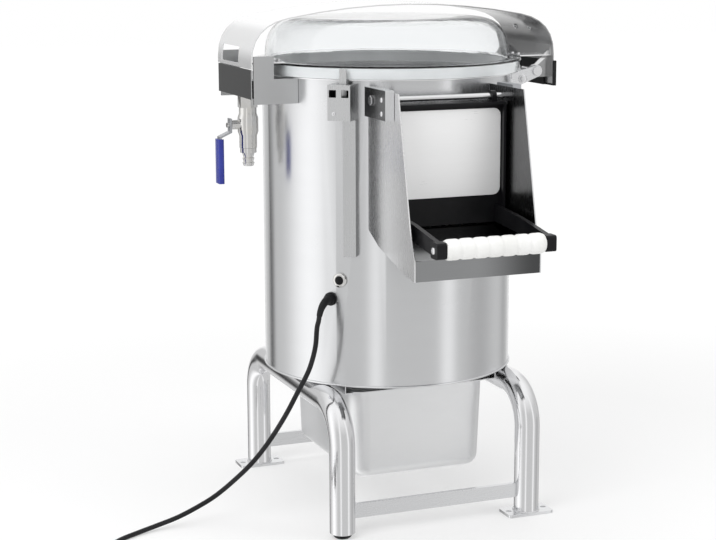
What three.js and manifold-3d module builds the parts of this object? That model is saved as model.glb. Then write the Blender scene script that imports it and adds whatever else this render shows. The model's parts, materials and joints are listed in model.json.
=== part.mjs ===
import * as THREE from "three";
import { mergeVertices } from "three/addons/utils/BufferGeometryUtils.js";
import Module from "manifold-3d";

const wasm = await Module();
wasm.setup();

// An electric potato peeler: a stainless drum on two bent-tube frames, a spinning abrasive disc, a clear lid
// under a steel arch, a drop-down chute with a lifting door, a water valve and a pan for the peel.
// Millimetres, +Z up. In this file the drum's axis is x = y = 0, the floor is z = 0 and the door faces -Y.
// Angles round the drum are measured from the front, positive towards +X.

// Driving dimensions, in millimetres

const gap = 0.3; // left between pieces that touch on the real machine
const overrun = 3; // how far a cutting tool runs past what it cuts
const weld = 0.001; // corners nearer than this are one corner
const facets = { large: 48, medium: 24, small: 16, hole: 8, hexagon: 6 }; // flats round a turned piece
const steps = { curve: 6, bend: 5, corner: 4, rounding: 3, blunt: 2 }; // flats along an arc

const drum = { radius: 210, wall: 2, bottom: 234, height: 496, basePlate: 3 };

const outlet = {
  halfWidth: 92, sillDrop: 214, headDrop: 44, corner: 14,
  reach: 22, frameWall: 3, frameMargin: 5,
};

const chamber = {
  floorBelowSill: 38, floor: 3, rim: 14, rimWall: 2,
  liner: 7, linerLift: 22, linerDrop: 34, linerSideGap: 5,
  drainRadius: 18, drainWall: 2, drainBeyondPulley: 15, drainBelowBase: 6, drainMargin: 2,
};

const topRing = { overhang: 9, flange: 2, leg: 2, legDrop: 6 };

const disc = {
  wallClearance: 14.7, lift: 10, plate: 8, hubRadius: 24, hubDepth: 5, hubRise: 16,
  ridgeStart: 44, ridgeMargin: 22, ridgeWidth: 34, ridgeTop: 10, ridgeRise: 12, ridges: 3,
};

const shaft = { radius: 12, neckRadius: 8, neckLength: 20, tail: 4 };
const bearing = { wall: 8, length: 44, flangeRadius: 42, flange: 6, neckRise: 4, running: 0.5 };
const bigPulley = { radius: 70, width: 20, groove: 8, belowBearing: 8 };
const smallPulley = { radius: 30, spacing: 18 };
const belt = { height: 8.4, thickness: 6, flank: 3, arcSteps: 14 };
const motor = { wallGap: 32, belowPulley: 22.7, shaftRadius: 9.5, boreShare: 0.6, chamfer: 6, running: 0.5 };

const frame = {
  tubeRadius: 21.2, tubeWall: 2, besideRail: 7.8, beyondDrum: 5, bendRadius: 64, drainRadius: 6,
  barHeight: 24, barThickness: 8, barLift: 30,
  plateThickness: 5, plateEar: 19.8, plateSide: 1.8, plateHole: 4.5, plateHoleInset: 9, plateCorner: 6,
};
const levelFoot = { padRadius: 15, pad: 8, stemRadius: 6, stemLength: 26, plugLength: 16, running: 0.4 };

const pan = {
  rimWidth: 265, rimLength: 325, rim: 2, rimCorner: 34, rimReach: 12.5,
  draft: 4, wall: 1.5, corner: 30, floorRound: 20, belowDrum: 11, aboveBar: 13,
};
const rail = { thickness: 2, lipClear: 1, side: 1.5, run: 10 };

const chute = {
  sideMargin: 14, plate: 2, topDrop: 10, topReach: 94, kneeBelowSill: 1, kneeReach: 142,
  noseBelowSill: 41, noseReach: 159, hemBelowSill: 73, throatBelowSill: 69, throatReach: 120,
  bellyBelowSill: 42, bellyReach: 15, heelBelowSill: 10,
  floorSheet: 1.5, floorBackReach: 3, floorBackBelowSill: 8,
};

const door = {
  sideGap: 5, headMargin: 11, footMargin: 11, frame: 6, seal: 5, sealWidth: 12,
  panel: 2, panelInset: 5, panelTopMargin: 10, panelFootMargin: 44, panelCorner: 12,
  rimProud: 12, rim: 4, pivotReach: 25, pinRadius: 5, pinHead: 3, pinHeadRadius: 8,
  earInset: 15, earThickness: 8, earRadius: 9, earClear: 5,
  blockHeight: 46, blockWidth: 15, blockRise: 19, blockTail: 30, leftBlockLead: 55, rightBlockLead: 27,
};

const handle = {
  reach: 212, belowSill: 16, armInset: 9, armThickness: 8, armHeight: 27, armTipHeight: 24,
  kneeShare: 0.5, kneeSag: 3, blockHalf: 12.5, blockWidth: 16, blockInset: 1,
  gripRadius: 14, ribRise: 2, ribs: 7, ribShare: 0.55, rodRadius: 6, rodEnd: 4,
};

const lid = {
  overhang: 16, skirtHeight: 20, skirtLift: 3.5, wall: 3.5, wallInset: 21, rise: 66, topInset: 65,
  wallShare: 0.62, shoulderShare: 0.2, sealWidth: 11,
};

const arch = {
  halfDepth: 90, beyondHinge: 30, sheet: 2, aboveLid: 24.5, crownRadius: 1100, shoulderInset: 62,
  legRise: 27, leftFootGap: 1, rightFootDrop: 22,
  holeInset: 22, holeLength: 90, holeFootRise: 22, holeHeight: 26,
  bracketInset: 8, bracketLength: 52, bracketRise: 18, bracketSheet: 2, bracketLanding: 18,
};
const hinge = {
  beyondDrum: 27, drop: 1, pinRadius: 5, pinHead: 3,
  earInset: 11, earThickness: 3, earRadius: 11, earWebRise: 33,
  lugInset: 1, lugThickness: 4, lugRadius: 10, lugDrop: 26, lugWaistShare: 0.86,
};
const footCap = { inner: 4, outer: 3.3, floor: 3, height: 42, innerHalf: 65 };

const shelf = {
  drop: 32, sheet: 2, lipRise: 15, endInset: 1.5, gussetThickness: 3,
  gussetLow: 40, gussetTop: 36, gussetUpright: 34,
};

const valve = {
  beyondDrum: 36, pipeRadius: 9, pipeBore: 6.5, lineDrop: 17, nozzleRadius: 12, nozzleLength: 10,
  nutRadius: 16.5, nut: 20, bodyRadius: 17, bodyEnd: 14.5, body: 66, bore: 7, waistShare: 0.8, neckShare: 1.3,
  stemDrop: 28, ballRadius: 10.5, ballBore: 5.5, ballClear: 0.4, stemRadius: 4, boss: 12, bossRadius: 8,
  stripWidth: 16, strip: 3, stripTop: 11, stripOffset: 18, stripBend: 8, stripLength: 92,
  sleeveWall: 3, sleeveLength: 73,
};
const tail = {
  length: 30, radius: 8, bore: 5.5, barb: 2, barbs: 3, barbShare: 0.8, collar: 8, collarRadius: 13.5,
};

const guard = {
  besideChute: 28.4, halfWidth: 19, height: 56, depth: 38, wall: 1.5, topDrop: 4,
  windowSize: 11.5, windowDrop: 8, windowInset: 4.5, switchHeight: 30, switchDepth: 11, switchDrop: 5,
  tongueHalfWidth: 6, tongue: 2, tongueDrop: 20, tongueRise: 16, slotClear: 3,
};
const duct = { besideChute: 22.1, halfWidth: 10.8, depth: 14, wall: 1.2, aboveButton: 29.7, wireHole: 4.5 };

const button = {
  besideChute: 37.8, belowChamber: 68, bezelRadius: 12, bezel: 4, neckRadius: 8.9, neckLength: 24,
  capRadius: 6.7, bore: 7, capProud: 2,
};
const gland = {
  besideChute: 49.3, belowChamber: 100, flangeRadius: 11, flange: 3, domeRadius: 9.5, dome: 7, neckRadius: 7.5,
  neckLength: 14,
};
const relief = { bendRadius: 32, turn: 70, rootRadius: 7.2, tipRadius: 4.6, stations: 6 };

const cord = {
  diameter: 8, sides: 8, stepDiameters: 3,
  turnDiameter: 92, pitch: 8.7, turnsPerLayer: 2, climbTurns: 0.5, loopSteps: 24, loopSides: 6,
  coilX: -505, coilY: -245, tieWidth: 10, tieWall: 1.2, tieRoom: 0.9, tailLength: 106,
  // how far along the tail, and how much of the rise to the plug is done there
  tailShares: [
    [0.08, 0], [0.17, -0.02], [0.26, -0.15], [0.36, -0.35], [0.45, -0.5], [0.55, -0.4], [0.64, -0.05],
    [0.74, 0.45], [0.83, 0.82], [0.92, 1], [1, 1],
  ],
};
const plug = {
  bodyRadius: 19, body: 30, neckRadius: 7, neck: 26, pinRadius: 2.4, pin: 19, pinSpacing: 19, rim: 2,
};

// Heights, widths and places that follow from the sizes above

const drumTop = drum.bottom + drum.height;
const drumInner = drum.radius - drum.wall;
const drumFit = drum.radius + gap;
const sill = drumTop - outlet.sillDrop;
const outletHead = drumTop - outlet.headDrop;
const chamberFloor = sill - chamber.floorBelowSill;
const discRadius = drumInner - gap - chamber.liner - disc.wallClearance;
const discBottom = chamberFloor + chamber.floor + disc.lift;
const bearingTop = chamberFloor + chamber.floor + bearing.neckRise;
const bearingBottom = chamberFloor - bearing.length;
const pulleyTop = bearingBottom - bigPulley.belowBearing;
const pulleyBottom = pulleyTop - bigPulley.width;
const pulleyMiddle = (pulleyTop + pulleyBottom) / 2;
const motorBehind = bigPulley.radius + smallPulley.radius + smallPulley.spacing;
const motorRadius = drumInner - motor.wallGap - motorBehind;
const motorBottom = drum.bottom + drum.basePlate + gap;
const motorTop = pulleyBottom - motor.belowPulley;
const motorBore = (motorTop - motorBottom) * motor.boreShare;
const drainOuter = chamber.drainRadius + chamber.drainWall;
const drainY = -(bigPulley.radius + chamber.drainBeyondPulley + drainOuter);

const ringTop = drumTop + gap + topRing.flange;
const skirtBottom = drumTop + lid.skirtLift;
const flangeTop = skirtBottom + lid.skirtHeight;
const lidRadius = drum.radius + lid.overhang;
const hingeX = drum.radius + hinge.beyondDrum;
const hingeZ = drumTop - hinge.drop;
const archSpan = hingeX + arch.beyondHinge;
const archTop = flangeTop + lid.rise + arch.aboveLid;
const archFoot = hingeZ - arch.rightFootDrop;

const outletFront = -(drum.radius + outlet.reach);
const chuteHalf = outlet.halfWidth + chute.sideMargin;
const doorHalf = chuteHalf - chute.plate - door.sideGap;
const doorTop = outletHead + door.headMargin;
const doorFoot = sill - door.footMargin;
const doorBack = outletFront - gap - door.seal - gap;
const doorFront = doorBack - door.frame;
const pivotY = -(drum.radius + door.pivotReach);
const pivotZ = outletHead + outlet.frameMargin + door.earRadius + door.earClear;
const gripY = -(drum.radius + handle.reach);
const gripZ = sill - handle.belowSill;
const armMiddle = doorHalf - handle.armInset;
const gripBlock = doorHalf - handle.blockInset;

const tubeTop = drum.bottom - gap - frame.tubeRadius;
const halfBase = drum.radius + frame.beyondDrum;
const halfTrack = pan.rimWidth / 2 + rail.side + rail.thickness + frame.besideRail + frame.tubeRadius;
const panRimTop = drum.bottom - pan.belowDrum;
const panLow = frame.barLift + frame.barHeight + pan.aboveBar;

const valveX = -(drum.radius + valve.beyondDrum);
const pipeLine = drumTop - valve.lineDrop;
const shelfFloor = drumTop - shelf.drop;
const lipTop = drumTop + shelf.lipRise;
const nutBottom = shelfFloor - gap - valve.nut;
const pipeFoot = nutBottom - valve.pipeRadius;
const valveBottom = nutBottom - valve.body;
const stemLine = nutBottom - valve.stemDrop;
const leverIn = valveX - valve.bodyRadius - valve.boss - gap;
const leverOut = leverIn - valve.stripOffset;
const stemEnd = leverIn - valve.strip - valve.stemRadius;

// The fittings on the drum's left front keep their distances from the chute's side.
const angleBeside = ({ besideChute }) =>
  -THREE.MathUtils.radToDeg(Math.asin((chuteHalf + besideChute) / drum.radius));
const guardAngle = angleBeside(guard);
const ductAngle = angleBeside(duct);
const buttonAngle = angleBeside(button);
const glandAngle = angleBeside(gland);
const guardTop = drumTop - guard.topDrop;
const guardBottom = guardTop - guard.height;
const buttonHeight = chamberFloor - button.belowChamber;
const ductFoot = buttonHeight + button.bezelRadius + duct.aboveButton;
const glandHeight = chamberFloor - gland.belowChamber;
const glandFace = drum.radius + gap + gland.flange + gland.dome;

// Shapes

const directions = {
  x: new THREE.Vector3(1, 0, 0),
  y: new THREE.Vector3(0, 1, 0),
  z: new THREE.Vector3(0, 0, 1),
};

function toSolid(geometry) {
  const bare = geometry.clone();
  for (const name of Object.keys(bare.attributes)) {
    if (name !== "position") bare.deleteAttribute(name);
  }
  const merged = mergeVertices(bare, weld);
  const corners = merged.index.array;
  const faces = [];
  for (let i = 0; i < corners.length; i += 3) {
    const [a, b, c] = corners.slice(i, i + 3);
    if (a !== b && b !== c && c !== a) faces.push(a, b, c);
  }
  const vertProperties = merged.attributes.position.array;
  const build = (list) =>
    new wasm.Manifold(new wasm.Mesh({ numProp: 3, vertProperties, triVerts: new Uint32Array(list) }));
  const made = build(faces);
  return made.volume() < 0 ? build(faces.reverse()) : made;
}

function toGeometry(made) {
  const { vertProperties, triVerts } = made.getMesh();
  const geometry = new THREE.BufferGeometry();
  geometry.setAttribute("position", new THREE.BufferAttribute(vertProperties, 3));
  geometry.setIndex(new THREE.BufferAttribute(triVerts, 1));
  return geometry;
}

const cut = (body, ...tools) =>
  toGeometry(tools.reduce((left, tool) => left.subtract(toSolid(tool)), toSolid(body)));
const join = (...pieces) => toGeometry(pieces.map(toSolid).reduce((sum, piece) => sum.add(piece)));

function block([x0, x1], [y0, y1], [z0, z1]) {
  const made = new THREE.BoxGeometry(x1 - x0, y1 - y0, z1 - z0);
  return made.translate((x0 + x1) / 2, (y0 + y1) / 2, (z0 + z1) / 2);
}

// A round bar along one axis, between two places on it, centred on the other two coordinates.
function rod(axis, radius, [from, to], { x = 0, y = 0, z = 0 } = {}, sides = facets.small) {
  const made = new THREE.CylinderGeometry(radius, radius, to - from, sides);
  if (axis === "x") made.rotateZ(Math.PI / 2);
  if (axis === "z") made.rotateX(Math.PI / 2);
  const middle = directions[axis].clone().multiplyScalar((from + to) / 2);
  return made.translate(x + middle.x, y + middle.y, z + middle.z);
}

// A turned piece: [radius, height] pairs that start and end on the Z axis, or close on themselves.
function turned(profile, sides = facets.large) {
  const points = profile.map(([r, z]) => new THREE.Vector2(r, z));
  return new THREE.LatheGeometry(points, sides).rotateX(Math.PI / 2);
}

function tubeRing(inner, outer, [low, high], sides = facets.large) {
  return turned([[inner, low], [outer, low], [outer, high], [inner, high], [inner, low]], sides);
}

// Faces a piece turned about Z outwards from the drum, at an angle round it and a height.
function facing(geometry, angle, height) {
  return geometry.rotateX(Math.PI / 2).rotateZ(THREE.MathUtils.degToRad(angle)).translate(0, 0, height);
}

function outlineOf(points) {
  return new THREE.Shape(points.map(([a, b]) => new THREE.Vector2(a, b)));
}

// A flat outline pushed along an axis. Its two coordinates are the other two axes in X, Y, Z order.
function prism(axis, outline, [from, to]) {
  const shape = outline instanceof THREE.Shape ? outline : outlineOf(outline);
  const depth = to - from;
  const made = new THREE.ExtrudeGeometry(shape, { depth, bevelEnabled: false, curveSegments: steps.curve });
  if (axis === "y") return made.rotateX(Math.PI / 2).translate(0, to, 0);
  if (axis === "z") return made.translate(0, 0, from);
  const turn = new THREE.Matrix4().makeBasis(directions.y, directions.z, directions.x);
  return made.applyMatrix4(turn).translate(from, 0, 0);
}

// The points of a rectangle with round corners, centred on a place.
function rounded(halfA, halfB, radius, [midA, midB] = [0, 0], flats = steps.corner) {
  const points = [];
  for (let corner = 0; corner < 4; corner++) {
    const signA = corner === 0 || corner === 3 ? 1 : -1;
    const signB = corner < 2 ? 1 : -1;
    for (let step = 0; step <= flats; step++) {
      const angle = (corner + step / flats) * (Math.PI / 2);
      points.push([
        midA + signA * (halfA - radius) + radius * Math.cos(angle),
        midB + signB * (halfB - radius) + radius * Math.sin(angle),
      ]);
    }
  }
  return points;
}

const miterShare = 0.5; // holds back the corners of a sharp fold

// The outline of a folded sheet: its middle line, made as thick as the sheet
function sheet(line, thickness) {
  const side = (sign) => line.map(([a, b], i) => {
    const [beforeA, beforeB] = line[Math.max(i - 1, 0)];
    const [afterA, afterB] = line[Math.min(i + 1, line.length - 1)];
    const into = new THREE.Vector2(a - beforeA, b - beforeB).normalize();
    const out = new THREE.Vector2(afterA - a, afterB - b).normalize();
    const along = into.clone().add(out).normalize();
    const first = i === 0 ? out : into;
    const widen = thickness / 2 / Math.max(along.dot(first), miterShare);
    return [a - sign * along.y * widen, b + sign * along.x * widen];
  });
  return [...side(1), ...side(-1).reverse()];
}

// A path that steps from one chosen point to the next, so that a tube spends no rings on its straights.
class SteppedPath extends THREE.Curve {
  constructor(points) {
    super();
    this.points = points;
  }

  getPoint(t, target = new THREE.Vector3()) {
    const place = t * (this.points.length - 1);
    const i = Math.min(Math.floor(place), this.points.length - 2);
    return target.lerpVectors(this.points[i], this.points[i + 1], place - i);
  }

  getPointAt(u, target) {
    return this.getPoint(u, target);
  }

  getTangent(t, target = new THREE.Vector3()) {
    const last = this.points.length - 1;
    const i = Math.round(t * last);
    const stretch = (from) => this.points[from + 1].clone().sub(this.points[from]).normalize();
    const into = stretch(Math.max(i - 1, 0));
    const out = stretch(Math.min(i, last - 1));
    return target.copy(into).add(out).normalize();
  }

  getTangentAt(u, target) {
    return this.getTangent(u, target);
  }
}

function circlePoints(radius, sides) {
  return Array.from({ length: sides }, (_, i) => {
    const angle = (2 * Math.PI * i) / sides;
    return new THREE.Vector2(radius * Math.cos(angle), radius * Math.sin(angle));
  });
}

// A tube or bar of round section along a list of points, hollow if it has a bore.
function swept(points, radius, sides, bore = 0) {
  const section = new THREE.Shape(circlePoints(radius, sides));
  if (bore > 0) section.holes.push(new THREE.Path(circlePoints(bore, sides).reverse()));
  const path = new SteppedPath(points);
  return new THREE.ExtrudeGeometry(section, { steps: points.length - 1, extrudePath: path });
}

// The middle line of a bent bar: straight runs joined by bends of one radius.
function bent(corners, radius) {
  const path = [corners[0]];
  for (let i = 1; i < corners.length - 1; i++) {
    const back = corners[i - 1].clone().sub(corners[i]).normalize();
    const ahead = corners[i + 1].clone().sub(corners[i]).normalize();
    const half = back.angleTo(ahead) / 2;
    const inward = back.clone().add(ahead).normalize();
    const middle = corners[i].clone().addScaledVector(inward, radius / Math.sin(half));
    const spoke = corners[i].clone().addScaledVector(back, radius / Math.tan(half)).sub(middle);
    const pin = spoke.clone().cross(back.clone().negate()).normalize();
    for (let step = 0; step <= steps.bend; step++) {
      const turn = ((Math.PI - 2 * half) * step) / steps.bend;
      path.push(spoke.clone().applyAxisAngle(pin, turn).add(middle));
    }
  }
  path.push(corners.at(-1));
  return path;
}

// A closed skin over a stack of rings with the same number of points, with a flat cap at each end.
function lofted(rings) {
  const count = rings[0].length;
  const places = rings.flat();
  const faces = [];
  for (let ring = 0; ring < rings.length - 1; ring++) {
    for (let i = 0; i < count; i++) {
      const a = ring * count + i;
      const b = ring * count + ((i + 1) % count);
      faces.push(a, b, b + count, a, b + count, a + count);
    }
  }
  const lastRing = (rings.length - 1) * count;
  for (let i = 1; i < count - 1; i++) {
    faces.push(0, i + 1, i, lastRing, lastRing + i, lastRing + i + 1);
  }
  const geometry = new THREE.BufferGeometry();
  geometry.setAttribute("position", new THREE.Float32BufferAttribute(places.flat(), 3));
  geometry.setIndex(faces);
  return geometry;
}

const drumCore = () => rod("z", drumFit, [-overrun, drumTop + drum.height], {}, facets.large);
const flipX = (geometry) => geometry.clone().scale(-1, 1, 1);
const flipY = (geometry) => geometry.clone().scale(1, -1, 1);

// Finishes

const finishes = {
  stainless: { color: 0xc9cbcd, roughness: 0.28, metalness: 1 },
  polished: { color: 0xd6d7d9, roughness: 0.12, metalness: 1 },
  darkSteel: { color: 0x8d9093, roughness: 0.4, metalness: 1 },
  castIron: { color: 0x4b4e52, roughness: 0.6, metalness: 0.6 },
  grit: { color: 0x3a3a3c, roughness: 0.95, metalness: 0 },
  clear: { color: 0xeef2f4, roughness: 0.06, metalness: 0, transparent: true, opacity: 0.3 },
  rubber: { color: 0x151516, roughness: 0.7, metalness: 0 },
  black: { color: 0x101012, roughness: 0.35, metalness: 0 },
  white: { color: 0xf1f1ee, roughness: 0.4, metalness: 0 },
  blue: { color: 0x24328c, roughness: 0.45, metalness: 0 },
  nickel: { color: 0xb9bbb8, roughness: 0.22, metalness: 1 },
  motorPaint: { color: 0x5f6972, roughness: 0.5, metalness: 0.2 },
};

const machine = new THREE.Group();
const lead = new THREE.Group();

function add(name, geometry, finish, group = machine) {
  const closed = toGeometry(toSolid(geometry));
  const mesh = new THREE.Mesh(closed, new THREE.MeshStandardMaterial(finishes[finish]));
  mesh.name = name;
  group.add(mesh);
  return mesh;
}

// Drum: one rolled sheet with the outlet and the holes for the button, the cord, the wires and the water

function bodyShell() {
  const cylinder = tubeRing(drumInner, drum.radius, [drum.bottom, drumTop], facets.large);
  const middle = [0, (outletHead + sill) / 2];
  const window = rounded(outlet.halfWidth, (outletHead - sill) / 2, outlet.corner, middle);
  const through = [drumInner - overrun, drum.radius + overrun];
  return cut(
    cylinder,
    prism("y", window, [-drum.radius - overrun, 0]),
    facing(rod("z", button.neckRadius + gap, through), buttonAngle, buttonHeight),
    facing(rod("z", gland.neckRadius + gap, through), glandAngle, glandHeight),
    facing(rod("z", duct.wireHole, through, {}, facets.hole), ductAngle, ductFoot + 2 * duct.wireHole),
    rod("x", valve.pipeRadius + gap, [-drum.radius - overrun, -drumInner + overrun], { z: pipeLine }),
  );
}

function basePlate() {
  const plate = rod("z", drumInner - gap, [drum.bottom, drum.bottom + drum.basePlate], {}, facets.large);
  const drain = rod("z", drainOuter + chamber.drainMargin,
    [drum.bottom - overrun, drum.bottom + drum.basePlate + overrun], { y: drainY });
  return cut(plate, drain);
}

// The chamber's floor is a pan with a short pipe that drops water and peel into the pan below the drum.
function chamberPan() {
  const outer = drumInner - gap;
  const top = chamberFloor + chamber.floor;
  const spoutFoot = drum.bottom - chamber.drainBelowBase;
  const dish = turned([
    [0, chamberFloor], [outer, chamberFloor], [outer, top + chamber.rim],
    [outer - chamber.rimWall, top + chamber.rim], [outer - chamber.rimWall, top], [0, top],
  ], facets.large);
  const spout = rod("z", drainOuter, [spoutFoot, chamberFloor + chamber.floor / 2], { y: drainY });
  const neck = shaft.radius + bearing.running + bearing.wall + gap;
  return cut(
    join(dish, spout),
    rod("z", chamber.drainRadius, [spoutFoot - overrun, top + overrun], { y: drainY }),
    rod("z", neck, [chamberFloor - overrun, top + overrun], {}, facets.medium),
  );
}

function abrasiveLiner() {
  const outer = drumInner - gap;
  const low = chamberFloor + chamber.linerLift;
  const high = drumTop - chamber.linerDrop;
  const ring = tubeRing(outer - chamber.liner, outer, [low, high], facets.large);
  const half = outlet.halfWidth + chamber.linerSideGap;
  const mouth = block([-half, half], [-drum.radius, 0],
    [sill - chamber.linerSideGap, outletHead + chamber.linerSideGap]);
  return cut(ring, mouth);
}

function ringOnTop() {
  const outer = drum.radius + topRing.overhang;
  const low = drumTop + gap;
  const legOut = drumInner - gap;
  const legIn = legOut - topRing.leg;
  return turned([
    [legIn, low - topRing.legDrop], [legOut, low - topRing.legDrop], [legOut, low], [outer, low],
    [outer, ringTop], [legIn, ringTop], [legIn, low - topRing.legDrop],
  ], facets.large);
}

// Drive: motor, belt and the shaft that carries the abrasive disc

function abrasiveDisc() {
  const top = discBottom + disc.plate;
  const plate = turned([
    [0, discBottom - disc.hubDepth], [disc.hubRadius, discBottom - disc.hubDepth],
    [disc.hubRadius, discBottom], [discRadius, discBottom],
    [discRadius, top], [disc.hubRadius + disc.hubDepth, top],
    [disc.hubRadius - disc.hubDepth, top + disc.hubRise], [0, top + disc.hubRise + disc.hubDepth / 2],
  ], facets.large);
  const half = disc.ridgeWidth / 2;
  const crest = disc.ridgeTop / 2;
  const ridge = prism("x", [
    [-half, top - disc.plate / 2], [half, top - disc.plate / 2], [crest, top + disc.ridgeRise],
    [-crest, top + disc.ridgeRise],
  ], [disc.ridgeStart, discRadius - disc.ridgeMargin]);
  const bore = rod("z", shaft.neckRadius + gap,
    [discBottom - disc.hubDepth - overrun, discBottom + shaft.neckLength - disc.hubDepth + gap]);
  const turn = (2 * Math.PI) / disc.ridges;
  const ridges = Array.from({ length: disc.ridges }, (_, i) => ridge.clone().rotateZ(i * turn));
  return cut(join(plate, ...ridges), bore);
}

function driveShaft() {
  const shoulder = discBottom - disc.hubDepth - gap;
  return turned([
    [0, pulleyBottom - shaft.tail], [shaft.radius, pulleyBottom - shaft.tail],
    [shaft.radius, shoulder], [shaft.neckRadius, shoulder],
    [shaft.neckRadius, shoulder + shaft.neckLength], [0, shoulder + shaft.neckLength],
  ], facets.small);
}

function bearingHousing() {
  const bore = shaft.radius + bearing.running;
  const neck = bore + bearing.wall;
  const flangeTopAt = chamberFloor - gap;
  return turned([
    [bore, bearingBottom], [neck, bearingBottom], [neck, flangeTopAt - bearing.flange],
    [bearing.flangeRadius, flangeTopAt - bearing.flange], [bearing.flangeRadius, flangeTopAt],
    [neck, flangeTopAt], [neck, bearingTop], [bore, bearingTop], [bore, bearingBottom],
  ], facets.medium);
}

// A belt pulley: a rim with one groove, cut for the belt with clear flanks.
function pulley(radius, bore, sides) {
  const floor = radius - bigPulley.groove;
  const halfFloor = belt.height / 2 + gap;
  const halfMouth = halfFloor + belt.flank;
  return turned([
    [bore, pulleyBottom], [radius, pulleyBottom],
    [radius, pulleyMiddle - halfMouth], [floor, pulleyMiddle - halfFloor],
    [floor, pulleyMiddle + halfFloor], [radius, pulleyMiddle + halfMouth],
    [radius, pulleyTop], [bore, pulleyTop], [bore, pulleyBottom],
  ], sides);
}

// The line of a belt round both pulleys, a distance outside the groove floors.
// Its flats stay outside the true arcs.
function beltLine(outside) {
  const big = bigPulley.radius - bigPulley.groove + outside;
  const small = smallPulley.radius - bigPulley.groove + outside;
  const lean = Math.acos((big - small) / motorBehind);
  const arc = (radius, centre, from, sweep) => {
    const flats = belt.arcSteps;
    const outward = radius / Math.cos(sweep / flats / 2);
    return Array.from({ length: flats + 1 }, (_, i) => {
      const angle = Math.PI / 2 + from + (sweep * i) / flats;
      return new THREE.Vector2(outward * Math.cos(angle), centre + outward * Math.sin(angle));
    });
  };
  return [...arc(big, 0, lean, 2 * Math.PI - 2 * lean), ...arc(small, motorBehind, -lean, 2 * lean)];
}

function driveBelt() {
  const loop = new THREE.Shape(beltLine(gap + belt.thickness));
  loop.holes.push(new THREE.Path(beltLine(gap).reverse()));
  return prism("z", loop, [pulleyMiddle - belt.height / 2, pulleyMiddle + belt.height / 2]);
}

function motorHousing() {
  const bore = motor.shaftRadius + motor.running;
  const waist = motorRadius - motor.chamfer;
  return turned([
    [0, motorBottom], [waist, motorBottom], [motorRadius, motorBottom + motor.chamfer],
    [motorRadius, motorTop - motor.chamfer], [waist, motorTop], [bore, motorTop],
    [bore, motorTop - motorBore], [0, motorTop - motorBore],
  ], facets.medium).translate(0, motorBehind, 0);
}

function motorRotor() {
  const spindle = rod("z", motor.shaftRadius, [motorTop - motorBore + motor.running, pulleyTop + shaft.tail]);
  const wheel = pulley(smallPulley.radius, motor.shaftRadius / 2, facets.small);
  return join(spindle, wheel).translate(0, motorBehind, 0);
}

// Underframe: two bent tubes, two flat bars, three bolt-down plates and a levelling foot

const weldedLift = frame.plateThickness / 2;

// The tube of a side frame on the -X side. Its front leg may stop higher, for the levelling foot.
function sideTube(frontLift) {
  const at = (y, z) => new THREE.Vector3(-halfTrack, y, z);
  const line = bent([
    at(-halfBase, frontLift), at(-halfBase, tubeTop), at(halfBase, tubeTop),
    at(halfBase, weldedLift),
  ], frame.bendRadius);
  return swept(line, frame.tubeRadius, facets.small, frame.tubeRadius - frame.tubeWall);
}

// A bolt-down plate on the -X side, drilled under its tube so that the tube can drain.
function footPlate(signY) {
  const halfLength = frame.tubeRadius + frame.plateEar;
  const halfWidth = frame.tubeRadius + frame.plateSide;
  const outline = outlineOf(rounded(halfLength, halfWidth, frame.plateCorner, [0, 0], steps.blunt));
  const drill = (radius, away) => {
    const points = circlePoints(radius, facets.hole).map((p) => new THREE.Vector2(p.x + away, p.y));
    outline.holes.push(new THREE.Path(points.reverse()));
  };
  const inset = halfLength - frame.plateHoleInset;
  drill(frame.plateHole, -inset);
  drill(frame.drainRadius, 0);
  drill(frame.plateHole, inset);
  return prism("z", outline, [0, frame.plateThickness]).translate(-halfTrack, signY * halfBase, 0);
}

// The leg over the levelling foot is closed by a threaded plug, welded into its end.
function sideFrameLeft() {
  const low = levelFoot.pad + gap;
  const centre = { x: -halfTrack, y: -halfBase };
  const end = rod("z", frame.tubeRadius - frame.tubeWall / 2, [low, low + levelFoot.plugLength], centre);
  const thread = rod("z", levelFoot.stemRadius + levelFoot.running,
    [low - overrun, low + levelFoot.plugLength + overrun], centre);
  return cut(join(sideTube(low), end, footPlate(1)), thread);
}

const sideFrameRight = () => flipX(join(sideTube(weldedLift), footPlate(1), footPlate(-1)));

function levellingFoot() {
  const { padRadius, pad, stemRadius, stemLength } = levelFoot;
  return turned([
    [0, 0], [padRadius - stemRadius / 2, 0], [padRadius, stemRadius / 2], [padRadius, pad - gap],
    [stemRadius, pad - gap], [stemRadius, pad + stemLength], [0, pad + stemLength],
  ], facets.small).translate(-halfTrack, -halfBase, 0);
}

function crossBar(signY) {
  const y = signY * halfBase;
  const half = frame.barThickness / 2;
  const barTop = frame.barLift + frame.barHeight;
  const bar = block([-halfTrack, halfTrack], [y - half, y + half], [frame.barLift, barTop]);
  const legs = [-1, 1].map((side) =>
    rod("z", frame.tubeRadius + gap, [0, drum.bottom], { x: side * halfTrack, y }));
  return cut(bar, ...legs);
}

// Peel pan: a kitchen pan that slides to the front on two rails

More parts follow.
